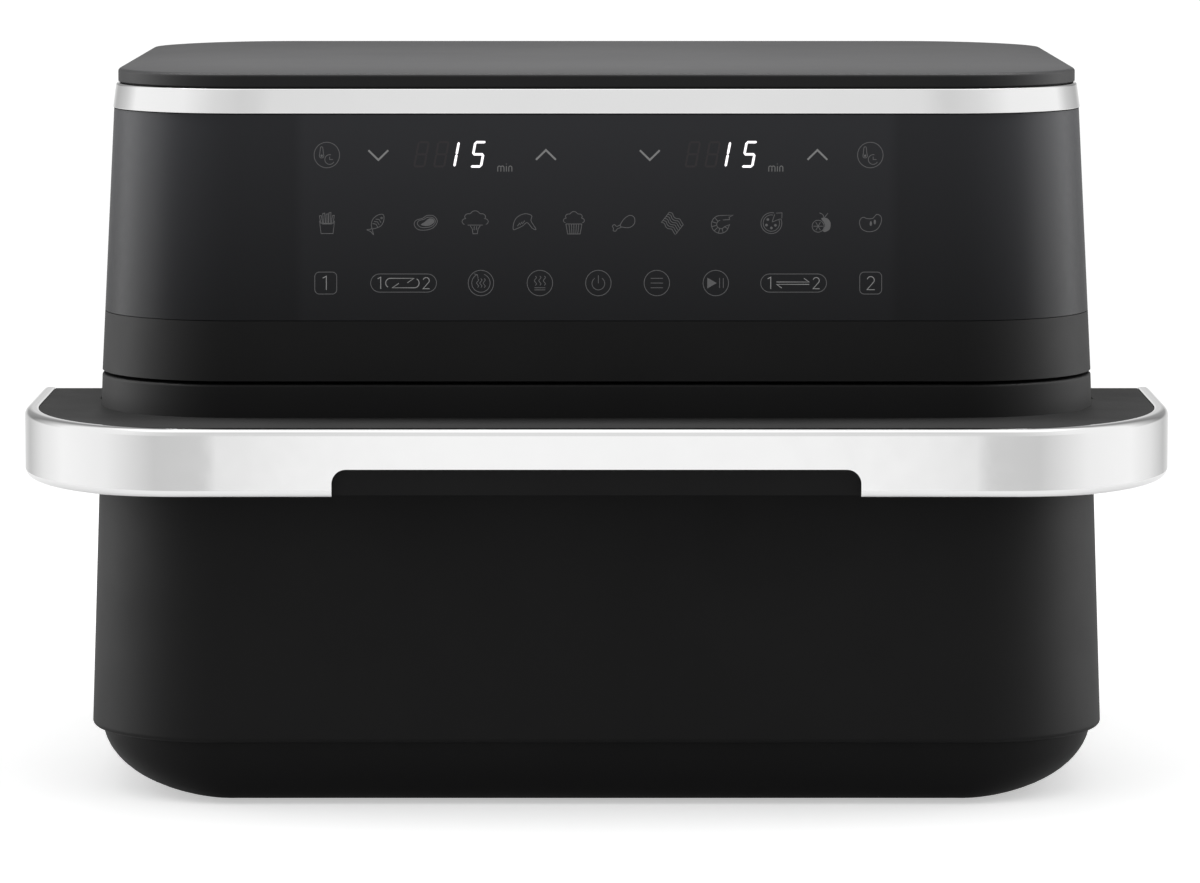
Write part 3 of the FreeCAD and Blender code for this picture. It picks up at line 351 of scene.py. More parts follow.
def moulded(name, colour, rough, grain, depth, specular=0.4, cells=0.5, contrast=1.25, patch=60 * MM):
    """Moulded plastic, rubber or enamel: grain in the bump, patches in the roughness, both in the colour."""
    material, tree, shader = blank_material(name, specular=specular)
    texture = add_group(tree, "Moulded Grain", {"Grain Size": grain, "Cells": cells})
    marks = add_group(tree, "Handling Marks", {"Patch Size": patch})
    add_bump(tree, shader, texture.outputs["Height"], depth)
    tree.links.new(spread(tree, marks.outputs["Marks"], 0, 1, rough[0], rough[1]), shader.inputs["Roughness"])
    share = math_node(tree, "MULTIPLY", texture.outputs["Pits"], marks.outputs["Haze"])
    tree.links.new(blend_colours(tree, share, shifted(colour, contrast), shifted(colour, 1 / contrast)),
                   shader.inputs["Base Color"])
    return material


def metal(name, colour, rough, pitch, depth, stain=0.85):
    """Bare metal with drawn lines in its roughness and bump, and uneven tone."""
    material, tree, shader = blank_material(name, metallic=1.0)
    lines = add_group(tree, "Drawn Lines", {"Line Pitch": pitch})
    marks = add_group(tree, "Handling Marks", {"Patch Size": 45 * MM})
    add_bump(tree, shader, lines.outputs["Height"], depth)
    streaks = spread(tree, lines.outputs["Streaks"], 0, 1, rough[0], rough[1])
    tree.links.new(streaks, shader.inputs["Roughness"])
    tree.links.new(blend_colours(tree, marks.outputs["Marks"], colour, shifted(colour, stain)),
                   shader.inputs["Base Color"])
    return material


def bright_plate(name, colour):
    """Polished bright plate with a breath of haze and a slow ripple from its moulding."""
    material, tree, shader = blank_material(name, metallic=1.0)
    marks = add_group(tree, "Handling Marks", {"Patch Size": 90 * MM})
    tree.links.new(spread(tree, marks.outputs["Haze"], 0.3, 0.7, 0.055, 0.10), shader.inputs["Roughness"])
    tree.links.new(blend_colours(tree, marks.outputs["Marks"], colour, shifted(colour, 0.97)),
                   shader.inputs["Base Color"])
    add_bump(tree, shader, marks.outputs["Marks"], 0.02 * MM)
    return material


def fascia_painted_reflection(name, painted_reflection_tone, edge_share, rim_x):
    """Glossy dark fascia with a painted reflection: its base colour is lightest across the flat middle and
    towards the top, darker beyond rim_x and towards the lower edge, standing in for the room's reflection.
    """
    material, tree, shader = blank_material(name, specular=0.092)
    marks = add_group(tree, "Handling Marks", {"Patch Size": 35 * MM})
    place = tree.nodes.new("ShaderNodeSeparateXYZ")
    tree.links.new(tree.nodes.new("ShaderNodeTexCoord").outputs["Object"], place.inputs[0])
    across = math_node(tree, "ABSOLUTE", place.outputs["X"])
    # painted reflection: the base colour is lighter across the flat middle and fades beyond rim_x, and is
    # lighter towards the top, where the gloss mirrors the brighter room
    reflection_across = spread(tree, across, rim_x + 2.5 * MM, rim_x - 2.5 * MM, edge_share, 1.0)
    reflection_fade = spread(tree, place.outputs["Z"], FASCIA_LOW.z, FASCIA_HIGH.z, 0.43, 1.0)
    share = math_node(tree, "MULTIPLY", reflection_across, reflection_fade)
    tree.links.new(blend_colours(tree, share, (0.0, 0.0, 0.0), painted_reflection_tone), shader.inputs["Base Color"])
    tree.links.new(spread(tree, marks.outputs["Haze"], 0.3, 0.7, 0.36, 0.42), shader.inputs["Roughness"])
    return material


def glowing(name, colour, strength):
    """Lit LED segment behind the fascia: brightest at its core."""
    material, tree, shader = blank_material(name, roughness=0.3)
    marks = add_group(tree, "Handling Marks", {"Patch Size": 1.2 * MM})
    tree.links.new(blend_colours(tree, marks.outputs["Haze"], colour, shifted(colour, 0.85)),
                   shader.inputs["Emission Color"])
    shader.inputs["Base Color"].default_value = (0.6, 0.6, 0.6, 1)
    shader.inputs["Emission Strength"].default_value = strength
    return material


def make_finishes(colours):
    """Every material of the object, by the record's slot, and a few by their own name."""
    make_moulded_grain()
    make_handling_marks()
    make_drawn_lines()
    shell, dark = tuple(colours.housing), tuple(colours.base)
    steel = tuple(colours.steel)
    return {
        "housing_plastic": moulded("Satin Charcoal Moulding", shell, (0.58, 0.64), 0.35 * MM,
                                   0.006 * MM, 0.2),
        "base_plastic": moulded("Matte Base Moulding", dark, (0.48, 0.58), 0.6 * MM, 0.02 * MM, 0.13),
        # the fascia's lighter tone is a painted reflection of the room, not a lit window
        "fascia_gloss": fascia_painted_reflection("Fascia Painted Reflection", tuple(colours.painted_reflection_tone), 0.78, REFLECTION_HALF_WIDTH),
        "cover_plastic": moulded("Fine Matte Cover", tuple(colours.cover), (0.46, 0.5), 0.5 * MM,
                                 0.012 * MM, 0.08, 0.5, 1.15, 140 * MM),
        "grille_plastic": moulded("Matte Outlet Grille", dark, (0.5, 0.6), 0.6 * MM, 0.02 * MM, 0.15),
        "bright_trim": bright_plate("Polished Bright Plate", tuple(colours.trim)),
        "handle_plastic": moulded("Grained Handle Top", tuple(colours.handle_top), (0.6, 0.72), 0.9 * MM,
                                  0.09 * MM, 0.12, 0.9, 1.8),
        "sheet_steel": metal("Rolled Sheet Steel", steel, (0.24, 0.4), 0.5 * MM, 0.004 * MM),
        "heater_steel": metal("Heat Stained Tube", shifted(steel, 0.35), (0.35, 0.5), 0.6 * MM,
                              0.006 * MM, 0.6),
        "fan_steel": metal("Pressed Fan Steel", shifted(steel, 1.05), (0.2, 0.34), 0.8 * MM, 0.004 * MM),
        "motor_paint": moulded("Dark Motor Enamel", (0.03, 0.03, 0.034), (0.3, 0.42), 0.8 * MM, 0.03 * MM),
        "circuit_board": moulded("Green Laminate", (0.012, 0.075, 0.032), (0.3, 0.45), 1.2 * MM, 0.01 * MM),
        "display_lens": moulded("Smoked Display Lens", (0.008, 0.008, 0.009), (0.1, 0.16), 1.0 * MM,
                                0.002 * MM),
        "switch_plastic": moulded("Natural Switch Moulding", (0.5, 0.46, 0.38), (0.4, 0.5), 0.6 * MM,
                                  0.01 * MM),
        "silicone": moulded("Soft Black Silicone", (0.014, 0.014, 0.015), (0.55, 0.68), 0.4 * MM,
                            0.012 * MM),
        "nonstick": moulded("Speckled Non-stick Coat", (0.02, 0.02, 0.021), (0.28, 0.42), 0.5 * MM,
                            0.014 * MM, 0.5, 0.4, 1.5),
        "screw_steel": metal("Plated Screw", shifted(steel, 1.1), (0.18, 0.3), 0.3 * MM, 0.003 * MM),
        "foot_rubber": moulded("Foot Rubber", (0.012, 0.012, 0.012), (0.7, 0.8), 0.7 * MM, 0.03 * MM, 0.3),
        "symbol_print": moulded("Grey Symbol Print", tuple(colours.symbols), (0.4, 0.5), 0.3 * MM,
                                0.002 * MM),
        "minute_print": moulded("Minute Print", (0.11, 0.11, 0.11), (0.4, 0.5), 0.3 * MM, 0.002 * MM),
        "key_print": moulded("Bright Key Print", tuple(colours.key_marks), (0.4, 0.5), 0.3 * MM, 0.002 * MM),
        "arrow_print": moulded("Pale Arrow Print", tuple(colours.arrows), (0.4, 0.5), 0.3 * MM, 0.002 * MM),
        "unlit_segment": moulded("Unlit Segment", (0.0265, 0.0245, 0.026), (0.4, 0.5), 0.3 * MM,
                                 0.002 * MM, 0.1),
        "lit_segment": glowing("Lit Segment", tuple(colours.digits), 1.3),
        "segment_halo": glowing("Segment Halo", tuple(colours.halo), 0.12),
    }


# ------------------------------------------------------------------ line art for the fascia
def arc(x, z, radius, start=0.0, end=360.0, steps=28, squeeze=1.0):
    """Points along an arc, in millimetres; squeeze flattens it in height."""
    angles = [math.radians(start + (end - start) * i / steps) for i in range(steps + 1)]
    return [(x + radius * math.cos(t), z + radius * squeeze * math.sin(t)) for t in angles]


def flowing(points, closed=False, steps=5):
    """A smooth curve through the points."""
    count = len(points)
    spans = count if closed else count - 1
    curve = []
    for i in range(spans):
        if closed:
            p0, p1, p2, p3 = (points[(i + k) % count] for k in (-1, 0, 1, 2))
        else:
            p0, p1, p2, p3 = (points[min(max(i + k, 0), count - 1)] for k in (-1, 0, 1, 2))
        for step in range(steps):
            t = step / steps
            curve.append(tuple(
                0.5 * (2 * p1[k] + (p2[k] - p0[k]) * t + (2 * p0[k] - 5 * p1[k] + 4 * p2[k] - p3[k]) * t * t
                       + (3 * p1[k] - p0[k] - 3 * p2[k] + p3[k]) * t ** 3) for k in (0, 1)))
    if not closed:
        curve.append(tuple(points[-1]))
    return curve


def rounded_rectangle(width, height, radius):
    x, z = width / 2 - radius, height / 2 - radius
    corners = ((x, z, 0), (-x, z, 90), (-x, -z, 180), (x, -z, 270))
    return [p for cx, cz, start in corners for p in arc(cx, cz, radius, start, start + 90, 8)]


def placed(strokes, x=0.0, z=0.0, scale=1.0, turn=0.0):
    """Strokes moved, scaled and turned; a stroke is (kind, points)."""
    c, s = math.cos(math.radians(turn)), math.sin(math.radians(turn))
    return [(kind, [(x + scale * (px * c - pz * s), z + scale * (px * s + pz * c)) for px, pz in points])
            for kind, points in strokes]


def line(*points):
    return ("line", list(points))


def loop(points):
    return ("loop", list(points))


def solid(points):
    return ("fill", list(points))


def ring(radius):
    return loop(arc(0, 0, radius, steps=40)[:-1])


def digit_one(height):
    h = height
    return [line((-0.22 * h, 0.36 * h), (0.04 * h, 0.5 * h), (0.04 * h, -0.5 * h))]


def digit_two(height):
    top = arc(0, 0.22 * height, 0.27 * height, 165, -30, 12)
    return [line(*top, (-0.28 * height, -0.5 * height), (0.3 * height, -0.5 * height))]


def word_min(height):
    """The unit of minutes, in plain small letters."""
    h = height
    hump = [(0, 0), (0, 0.7 * h)] + arc(0.28 * h, 0.72 * h, 0.28 * h, 180, 0, 8) + [(0.56 * h, 0)]
    second = [(x + 0.56 * h, z) for x, z in hump[1:]]
    letters = [line(*hump), line(*second), line((1.55 * h, 0), (1.55 * h, h)),
               line((1.55 * h, 1.3 * h), (1.55 * h, 1.42 * h))]
    return letters + placed([line(*hump)], 1.98 * h, 0)


def steam(x, height):
    wisp = [(x + 0.45 * math.sin(k * math.pi / 2), -height / 2 + height * k / 6) for k in range(7)]
    return line(*flowing(wisp))


def draw_timer_heat():
    glass = arc(-2.2, 3.0, 0.5, 0, 180, 8) + arc(-2.2, -0.3, 0.95, 150, 390, 14)
    clock = arc(1.2, -1.9, 2.05, 75, 330, 22)
    return [ring(5.4), loop(glass), solid(arc(-2.2, -0.3, 0.5, steps=12)[:-1]), line(*clock),
            line((1.2, -0.7), (1.2, -1.9), (2.6, -1.9))]


def draw_key_frame():
    return [loop(rounded_rectangle(9.3, 9.3, 1.9))]


def draw_pill():
    return [loop(rounded_rectangle(27.9, 7.7, 3.8))]


def draw_sync():
    left = arc(-5.6, 0, 2.0, 240, 90, 12) + [(4.4, 2.0), (1.6, 0.1)]
    right = arc(4.6, 0, 2.0, 60, -90, 12) + [(-4.8, -2.0), (-2.0, -0.1)]
    return [line(*left), line(*right)]


def draw_match():
    over = line((-7.2, 0.45), (6.6, 0.45), (4.4, 2.0))
    under = line((6.6, -0.55), (-7.2, -0.55), (-5.0, -2.1))
    return [over, under]


def draw_reheat():
    turning = arc(0, 0, 3.9, 115, 430, 30)
    return [ring(5.4), line(*turning), line((-2.9, 3.9), (-1.5, 3.55), (-1.2, 2.2))] + [
        steam(x, 3.8) for x in (-1.4, 0, 1.4)]


def draw_keep_warm():
    wisps = placed([steam(x, 4.0) for x in (-1.9, 0, 1.9)], 0, 1.0)
    return [ring(5.4)] + wisps + [line((-2.3, -2.0), (2.3, -2.0)), line((-2.3, -2.9), (2.3, -2.9))]


def draw_power():
    return [ring(5.4), line(*arc(0, -0.2, 2.7, 125, 415, 26)), line((0, 3.3), (0, -0.1))]


def draw_menu():
    return [ring(5.4)] + [line((-2.6, z), (2.6, z)) for z in (2.0, 0, -2.0)]


def draw_start():
    return [ring(5.4), solid([(-3.6, 2.3), (0.4, 0.0), (-3.6, -2.3)]), line((1.6, 2.1), (1.6, -2.1)),
            line((3.2, 2.1), (3.2, -2.1))]


def draw_chips():
    cup = [(-3.4, 0.9), (-2.7, -4.7), (2.7, -4.7), (3.4, 0.9), (2.0, -0.4), (-2.0, -0.4)]
    tops = ((-2.4, -0.5, 3.2), (-1.2, -0.2, 4.3), (0.0, 0.1, 4.0), (1.2, 0.2, 4.6), (2.4, 0.5, 3.3))
    sticks = [loop([(x - 0.42, -0.1), (x - 0.5 + lean, top), (x + 0.36 + lean, top + 0.2), (x + 0.42, -0.1)])
              for x, lean, top in tops]
    return [loop(cup)] + sticks


def draw_fish():
    side = flowing([(-4.9, 0.3), (-3.0, 2.0), (-0.2, 2.4), (2.2, 1.0), (3.3, 0.1), (5.0, 1.9), (4.6, 0.0),
                    (5.0, -1.8), (3.3, -0.3), (2.0, -1.4), (-0.4, -2.3), (-3.2, -1.6)], True)
    stripes = [line((x, 1.6), (x - 0.7, 0.1), (x, -1.3)) for x in (-1.3, 0.0, 1.2)]
    return placed([loop(side), line(*arc(-3.2, 0.6, 0.35, steps=10))] + stripes, turn=235)


def draw_steak():
    rim = flowing([(-5.2, -0.8), (-4.4, 1.2), (-1.4, 2.2), (0.6, 3.4), (3.6, 3.2), (5.2, 0.8), (3.6, -1.9),
                   (0.4, -3.1), (-3.4, -2.9)], True)
    inner = [(x * 0.78 + 0.3, z * 0.7 + 0.2) for x, z in rim]
    meat = flowing([(-2.2, -0.7), (-0.4, 0.6), (1.4, 2.0), (3.2, 1.9), (3.9, 0.6), (2.2, -0.9), (-0.2, -1.3)],
                   True)
    return [loop(rim), loop(inner), solid(meat)]


def florets(width, height):
    """Scalloped outline of a broccoli head or a muffin top."""
    lobes = [(-0.42, -0.1, 0.2), (-0.3, 0.32, 0.2), (0.0, 0.52, 0.24), (0.3, 0.32, 0.2), (0.42, -0.1, 0.2)]
    spans = ((250, 95), (215, 75), (160, 20), (105, -35), (85, -70))
    points = []
    for (x, z, r), (start, end) in zip(lobes, spans):
        points += arc(x * width, z * height, r * width * 0.85, start, end, 7, 0.8)
    return points


def draw_broccoli():
    stem = [(-2.3, -1.2), (-1.3, -2.6), (-1.0, -4.8), (1.0, -4.8), (1.3, -2.6), (2.3, -1.2)]
    head = placed([line(*florets(10.0, 5.2))], 0, 1.2)
    return head + [line(*stem), line((-3.4, -0.9), (3.4, -0.9)), line((-0.4, -1.4), (-0.5, -3.2)),
                   line((0.7, -1.4), (0.5, -3.2))]


def draw_wing():
    back = flowing([(-5.0, -2.9), (-4.9, -0.2), (-3.4, 2.6), (0.0, 4.2), (3.2, 3.4), (2.9, 1.2), (4.0, -0.8),
                    (5.2, -2.9), (3.5, -2.3), (1.2, 0.2), (-0.8, -1.2), (-3.2, -2.4)], True)
    feathers = [line((x, -1.4 + 0.5 * k), (x + 1.1, 0.1 + 0.5 * k)) for k, x in enumerate((-3.2, -2.1, -1.0))]
    return [loop(back)] + feathers


def draw_muffin():
    cup = [(-3.6, -0.4), (-2.8, -4.9), (2.8, -4.9), (3.6, -0.4)]
    pleats = [line((x, -0.6), (0.8 * x, -4.8)) for x in (-2.2, -1.1, 0.0, 1.1, 2.2)]
    return placed([line(*florets(8.0, 4.4))], 0, 1.6) + [loop(cup)] + pleats


def draw_drumstick():
    meat = flowing([(-1.4, -1.1), (0.4, 1.9), (3.0, 3.5), (5.0, 2.4), (5.0, -0.2), (3.0, -1.9), (0.2, -1.9)],
                   True)
    bone = flowing([(-1.5, -0.8), (-2.9, -1.5), (-4.0, -0.7), (-4.9, -1.4), (-4.4, -2.4), (-4.5, -3.4),
                    (-3.4, -3.6), (-2.8, -2.7), (-0.9, -1.9)])
    return [loop(meat), line(*bone)]


def draw_bacon():
    strips = []
    for k in range(6):
        wave = [(-4.2 + 1.4 * i, 2.9 - 1.16 * k + 0.5 * math.sin(i * 1.9)) for i in range(7)]
        strips.append(line(*flowing(wave)))
    right_top = 2.9 + 0.5 * math.sin(11.4)
    ends = [line((-4.2, 2.9), (-4.2, -2.9)), line((4.2, right_top), (4.2, -2.9))]
    return placed(strips + ends, turn=-38)


def draw_prawn():
    outer = arc(-0.8, -0.6, 4.0, 95, 330, 24)
    inner = arc(-0.5, -0.6, 1.9, 100, 330, 18)
    rings = [line((-0.65 + 2.0 * math.cos(t), -0.6 + 2.0 * math.sin(t)),
                  (-0.8 + 3.9 * math.cos(t), -0.6 + 3.9 * math.sin(t)))
             for t in (math.radians(a) for a in range(130, 320, 32))]
    head = line((-1.1, 3.4), (5.0, 3.6), (3.2, 2.6), (3.4, 1.6), (0.4, 1.4))
    tail = loop([(2.6, -2.6), (1.2, -1.6), (3.4, -0.7)])
    return [line(*outer), line(*inner), head, tail] + rings


def draw_pizza():
    slice_edge = [line((0.3, 0.5), (1.5, 3.9)), line((0.3, 0.5), (4.0, 1.9)),
                  line((2.1, 4.5), (4.8, 4.6), (4.7, 2.2))]
    topping = [solid(arc(x, z, 0.62, steps=10)[:-1])
               for x, z in ((-1.6, 1.6), (-2.2, -0.9), (0.0, -2.2), (1.8, -1.0))]
    return [line(*arc(0, 0, 4.7, 75, 385, 40)), line(*arc(0, 0, 3.7, 78, 382, 34))] + slice_edge + topping


def draw_fruit():
    whole = flowing([(0.2, 2.2), (2.8, 2.2), (4.4, 0.2), (4.0, -2.8), (1.8, -4.0), (0.9, -3.2), (1.9, -1.4),
                     (1.3, 0.4)], True)
    spokes = [line((-1.2, -1.4), (-1.2 + 2.1 * math.cos(t), -1.4 + 2.1 * math.sin(t)))
              for t in (math.radians(60 * k) for k in range(6))]
    leaf = flowing([(1.4, 2.4), (0.9, 3.8), (-0.6, 4.6)])
    half = loop(arc(-1.2, -1.4, 2.7, steps=26)[:-1])
    return [solid(whole), half, line(*leaf), line((1.6, 2.5), (3.2, 4.4))] + spokes


def draw_bean():
    husk = flowing([(-4.8, 0.6), (-3.4, 2.6), (-1.2, 2.0), (1.2, 2.2), (3.0, 3.9), (4.9, 2.9), (4.9, 0.2),
                    (3.0, -2.9), (-0.6, -3.9), (-3.8, -2.6)], True)
    return [loop(husk), solid(arc(0.3, -0.2, 0.5, steps=12, squeeze=2.2)[:-1]),
            solid(arc(2.1, 0.5, 0.5, steps=12, squeeze=2.2)[:-1])]


def segment_outline(vertical, length, width):
    """One segment of a display digit, with blunt rounded tips."""
    half, w, tip = length / 2, width / 2, width * 0.42
    shape = [(-half + tip, w), (half - tip, w), (half, 0.25 * w), (half, -0.25 * w), (half - tip, -w),
             (-half + tip, -w), (-half, -0.25 * w), (-half, 0.25 * w)]
    return [(z, x) for x, z in shape] if vertical else shape


SEGMENTS = {                      # centre in half digit widths and heights, and whether it stands upright
    "a": (0, 2, False), "g": (0, 0, False), "d": (0, -2, False),
    "f": (-1, 1, True), "b": (1, 1, True), "e": (-1, -1, True), "c": (1, -1, True),
}
FIGURES = ((0.0, "afgcd"), (7.0, "fe"))        # distance back from the last figure, and lit segments
UNLIT_PLACES = (15.6, 24.0)


def digit_segments(x, z, height, lean, wanted, grow=0.0):
    """Outlines of the wanted segments of one leaning digit."""
    width, stroke = 0.375 * height, 0.072 * height + grow
    shapes = []
    for key in wanted:
        across, up, upright = SEGMENTS[key]
        length = (0.43 if upright else 0.36) * height + grow
        cx, cz = across * width / 2, up * 0.9 * height / 4
        outline = [(px + cx, pz + cz) for px, pz in segment_outline(upright, length, stroke)]
        shapes.append(solid([(x + px + pz * lean, z + pz) for px, pz in outline]))
    return shapes


def fascia_point(x, z, proud):
    """A point on the fascia's leaning front, in metres, from millimetres across and up."""
    height = z * MM
    return Vector((x * MM, body_level(height)[1] - proud, height))


def line_art(name, strokes, width, proud, thick=0.06 * MM):
    """Thin closed relief on the fascia from strokes in millimetres: ribbons for lines, plates for fills."""
    mesh = bmesh.new()
    for kind, points in strokes:
        if kind == "fill":
            front = [mesh.verts.new(fascia_point(x, z, proud)) for x, z in points]
            back = [mesh.verts.new(fascia_point(x, z, proud - thick)) for x, z in points]
            mesh.faces.new(front)
            mesh.faces.new(back[::-1])
            for i in range(len(points)):
                j = (i + 1) % len(points)
                mesh.faces.new((front[i], back[i], back[j], front[j]))
            continue
        flat = [Vector(p) for p in points]
        closed = kind == "loop"
        count = len(flat)
        stations = []
        for i, here in enumerate(flat):
            before = flat[i - 1] if (closed or i) else here
            after = flat[(i + 1) % count] if (closed or i < count - 1) else here
            into, out = (here - before), (after - here)
            into = into.normalized() if into.length > 1e-9 else out.normalized()
            out = out.normalized() if out.length > 1e-9 else into
            normal = Vector((-(into.y + out.y), into.x + out.x))
            normal = normal.normalized() if normal.length > 1e-6 else Vector((-into.y, into.x))
            mitre = max(abs(normal.dot(Vector((-into.y, into.x)))), 0.5)
            offset = normal * width / 2 / mitre
            sides = (here + offset, here - offset)
            section = ((sides[0], 0), (sides[1], 0), (sides[1], thick), (sides[0], thick))
            stations.append([mesh.verts.new(fascia_point(p.x, p.y, proud - back)) for p, back in section])
        for i in range(count if closed else count - 1):
            a, b = stations[i], stations[(i + 1) % count]
            for k in range(4):
                mesh.faces.new((a[k], a[(k + 1) % 4], b[(k + 1) % 4], b[k]))
        if not closed:
            mesh.faces.new(stations[0][::-1])
            mesh.faces.new(stations[-1])
    bmesh.ops.recalc_face_normals(mesh, faces=mesh.faces)
    return mesh_object(name, mesh, 30)


# ------------------------------------------------------------------ settings
class AirFryerColours(bpy.types.PropertyGroup):
    """Colours of the finishes"""

    housing: FloatVectorProperty(name="Housing", description="Charcoal of the shells and drawer front",
                                 subtype="COLOR", size=3, min=0, max=1, default=(0.0008, 0.0008, 0.0009))
    base: FloatVectorProperty(name="Base", description="Black of the base pan and grille",
                              subtype="COLOR", size=3, min=0, max=1, default=(0.0016, 0.0016, 0.0017))
    # painted reflection: this colour stands in for the room mirrored in the fascia's flat middle
    painted_reflection_tone: FloatVectorProperty(name="Painted Fascia Reflection", description="Tone of the reflection painted on the fascia",
                               subtype="COLOR", size=3, min=0, max=1, default=(0.0262, 0.0268, 0.0295))
    cover: FloatVectorProperty(name="Cover", description="Charcoal of the top cover",
                               subtype="COLOR", size=3, min=0, max=1, default=(0.013, 0.013, 0.0134))
    trim: FloatVectorProperty(name="Bright Trim", description="Plate on the trim band and handle",
                              subtype="COLOR", size=3, min=0, max=1, default=(0.89, 0.89, 0.89))
    handle_top: FloatVectorProperty(name="Handle Top", description="Grained top of the handle",
                                    subtype="COLOR", size=3, min=0, max=1, default=(0.0045, 0.0045, 0.0045))
    steel: FloatVectorProperty(name="Steel", description="Bare steel inside",
                               subtype="COLOR", size=3, min=0, max=1, default=(0.56, 0.56, 0.56))
    symbols: FloatVectorProperty(name="Symbols", description="Grey of the printed touch symbols",
                                 subtype="COLOR", size=3, min=0, max=1, default=(0.078, 0.078, 0.08))
    arrows: FloatVectorProperty(name="Arrows", description="Paler grey of the up and down arrows",
                                subtype="COLOR", size=3, min=0, max=1, default=(0.16, 0.16, 0.16))
    key_marks: FloatVectorProperty(name="Key Marks", description="Grey of the figures on the drawer keys",
                                   subtype="COLOR", size=3, min=0, max=1, default=(0.2, 0.2, 0.2))
    digits: FloatVectorProperty(name="Digits", description="Light of the lit display segments",
                                subtype="COLOR", size=3, min=0, max=1, default=(1.0, 0.97, 1.0))
    halo: FloatVectorProperty(name="Halo", description="Fringe of light round the lit segments",
                              subtype="COLOR", size=3, min=0, max=1, default=(0.75, 0.45, 0.7))


class AirFryerSizes(bpy.types.PropertyGroup):
    """Sizes of the finer pieces"""

    handle_edge: FloatProperty(name="Handle Edge", description="Rounding of the handle band's outer edges",
                               unit="LENGTH", default=3.1 * MM, min=0.5 * MM, max=3.4 * MM)
    trim_edge: FloatProperty(name="Trim Edge", description="Rounding of the trim band's edges",
                             unit="LENGTH", default=0.9 * MM, min=0.2 * MM, max=1.5 * MM)
    cover_edge: FloatProperty(name="Cover Edge", description="Rounding of the cover's upper edge",
                              unit="LENGTH", default=1.6 * MM, min=0.3 * MM, max=3 * MM)
    drawer_edge: FloatProperty(name="Drawer Edge", description="Rounding of the drawer front's lower edge",
                               unit="LENGTH", default=2.2 * MM, min=0.5 * MM, max=2.6 * MM)
    cutout_corner: FloatProperty(name="Cut-out Corner", description="Rounding of the finger cut-out",
                                 unit="LENGTH", default=6 * MM, min=1 * MM, max=10 * MM)
    cutout_half_width: FloatProperty(name="Cut-out Half Width", description="Half the finger cut-out's width",
                                     unit="LENGTH", default=110.5 * MM, min=60 * MM, max=150 * MM)
    cutout_height: FloatProperty(name="Cut-out Height", description="Height of the finger cut-out",
                                 unit="LENGTH", default=11.3 * MM, min=5 * MM, max=20 * MM)
    stroke: FloatProperty(name="Symbol Stroke", description="Line width of the touch symbols",
                          unit="LENGTH", default=0.27 * MM, min=0.1 * MM, max=1 * MM)
    digit_height: FloatProperty(name="Digit Height", description="Height of the display digits",
                                unit="LENGTH", default=11.4 * MM, min=5 * MM, max=20 * MM)


class AirFryerStage(bpy.types.PropertyGroup):
    """Camera, floor and surroundings"""

    lens: FloatProperty(name="Lens", description="Focal length in millimetres for a 36 mm sensor",
                        default=188.25, min=20, max=400)
    camera_x: FloatProperty(name="Camera Side Step", description="How far right of the middle the camera is",
                            unit="LENGTH", default=1.5 * MM, min=-1, max=1)
    distance: FloatProperty(name="Distance", description="How far in front of the origin the camera stands",
                            unit="LENGTH", default=2.8, min=0.5, max=10)
    height: FloatProperty(name="Height", description="Height of the camera above the floor",
                          unit="LENGTH", default=0.434, min=0, max=3)
    pitch: FloatProperty(name="Pitch", description="How far the camera looks down", subtype="ANGLE",
                         default=math.radians(5.956), min=0, max=1.5)
    floor_radius: FloatProperty(name="Floor Radius", description="Radius of the pale floor",
                                unit="LENGTH", default=1.25, min=0.5, max=10)
    floor_steps: IntProperty(name="Floor Steps", description="Corners of the floor's rim",
                             default=96, min=12, max=256)
    side_power: FloatProperty(name="Side Power", description="Power of the tall soft light at each side",
                              unit="POWER", default=20.0, min=0, max=500)
    top_power: FloatProperty(name="Top Power", description="Power of the soft light above the front",
                             unit="POWER", default=9.5, min=0, max=500)


FINISHES = {}


# ------------------------------------------------------------------ operators
class AIRFRYER_OT_finishes(bpy.types.Operator):
    """Makes every shader group and material"""

    bl_idname = "airfryer.finishes"
    bl_label = "Finishes"

    def execute(self, context):
        FINISHES.update(make_finishes(context.scene.air_fryer_colours))
        return {"FINISHED"}


class AIRFRYER_OT_packed_parts(bpy.types.Operator):
    """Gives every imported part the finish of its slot"""

    bl_idname = "airfryer.packed_parts"
    bl_label = "Packed Parts"

    def execute(self, context):
        for entry in frame["record"]["subparts"]:
            part = frame["nodes"][entry["node"]]
            look = "housing_plastic" if entry["node"] == "handle_lining" else entry["material_slot"]
            for place in part.material_slots:
                place.material = FINISHES[look]
        return {"FINISHED"}


class AIRFRYER_OT_drawer_front(bpy.types.Operator):
    """Builds the drawer's deep front shell with its softly rounded lower edge"""

    bl_idname = "airfryer.drawer_front"
    bl_label = "Drawer Front"

    def execute(self, context):
        low, high = DRAWER_LOW.z, DRAWER_HIGH.z
        edge = context.scene.air_fryer_sizes.drawer_edge
        shelf, side_limit = 24.8 * MM, 6.0 * MM
        profile = rounded_profile((
            (SHELL_WALL, low, 0.3 * MM), (0.0, low, edge), (0.0, high, 1.1 * MM), (shelf, high, 0.5 * MM),
            (shelf, high - SHELL_WALL, 0.5 * MM), (SHELL_WALL, high - SHELL_WALL, 1.2 * MM)), 6)
        rings = []
        for u, z in profile:
            half, front = body_level(z)
            side = min(u, side_limit)
            corner = (BODY_CORNER[0] - side, BODY_CORNER[1] - u)
            rings.append(front_path(half - side, front + u, corner, DRAWER_HIGH.y, z))
        piece = skin("drawer_front_shell", rings, False, True)
        settle(piece, "drawer", FINISHES["housing_plastic"], ["drawer_front"])
        return {"FINISHED"}


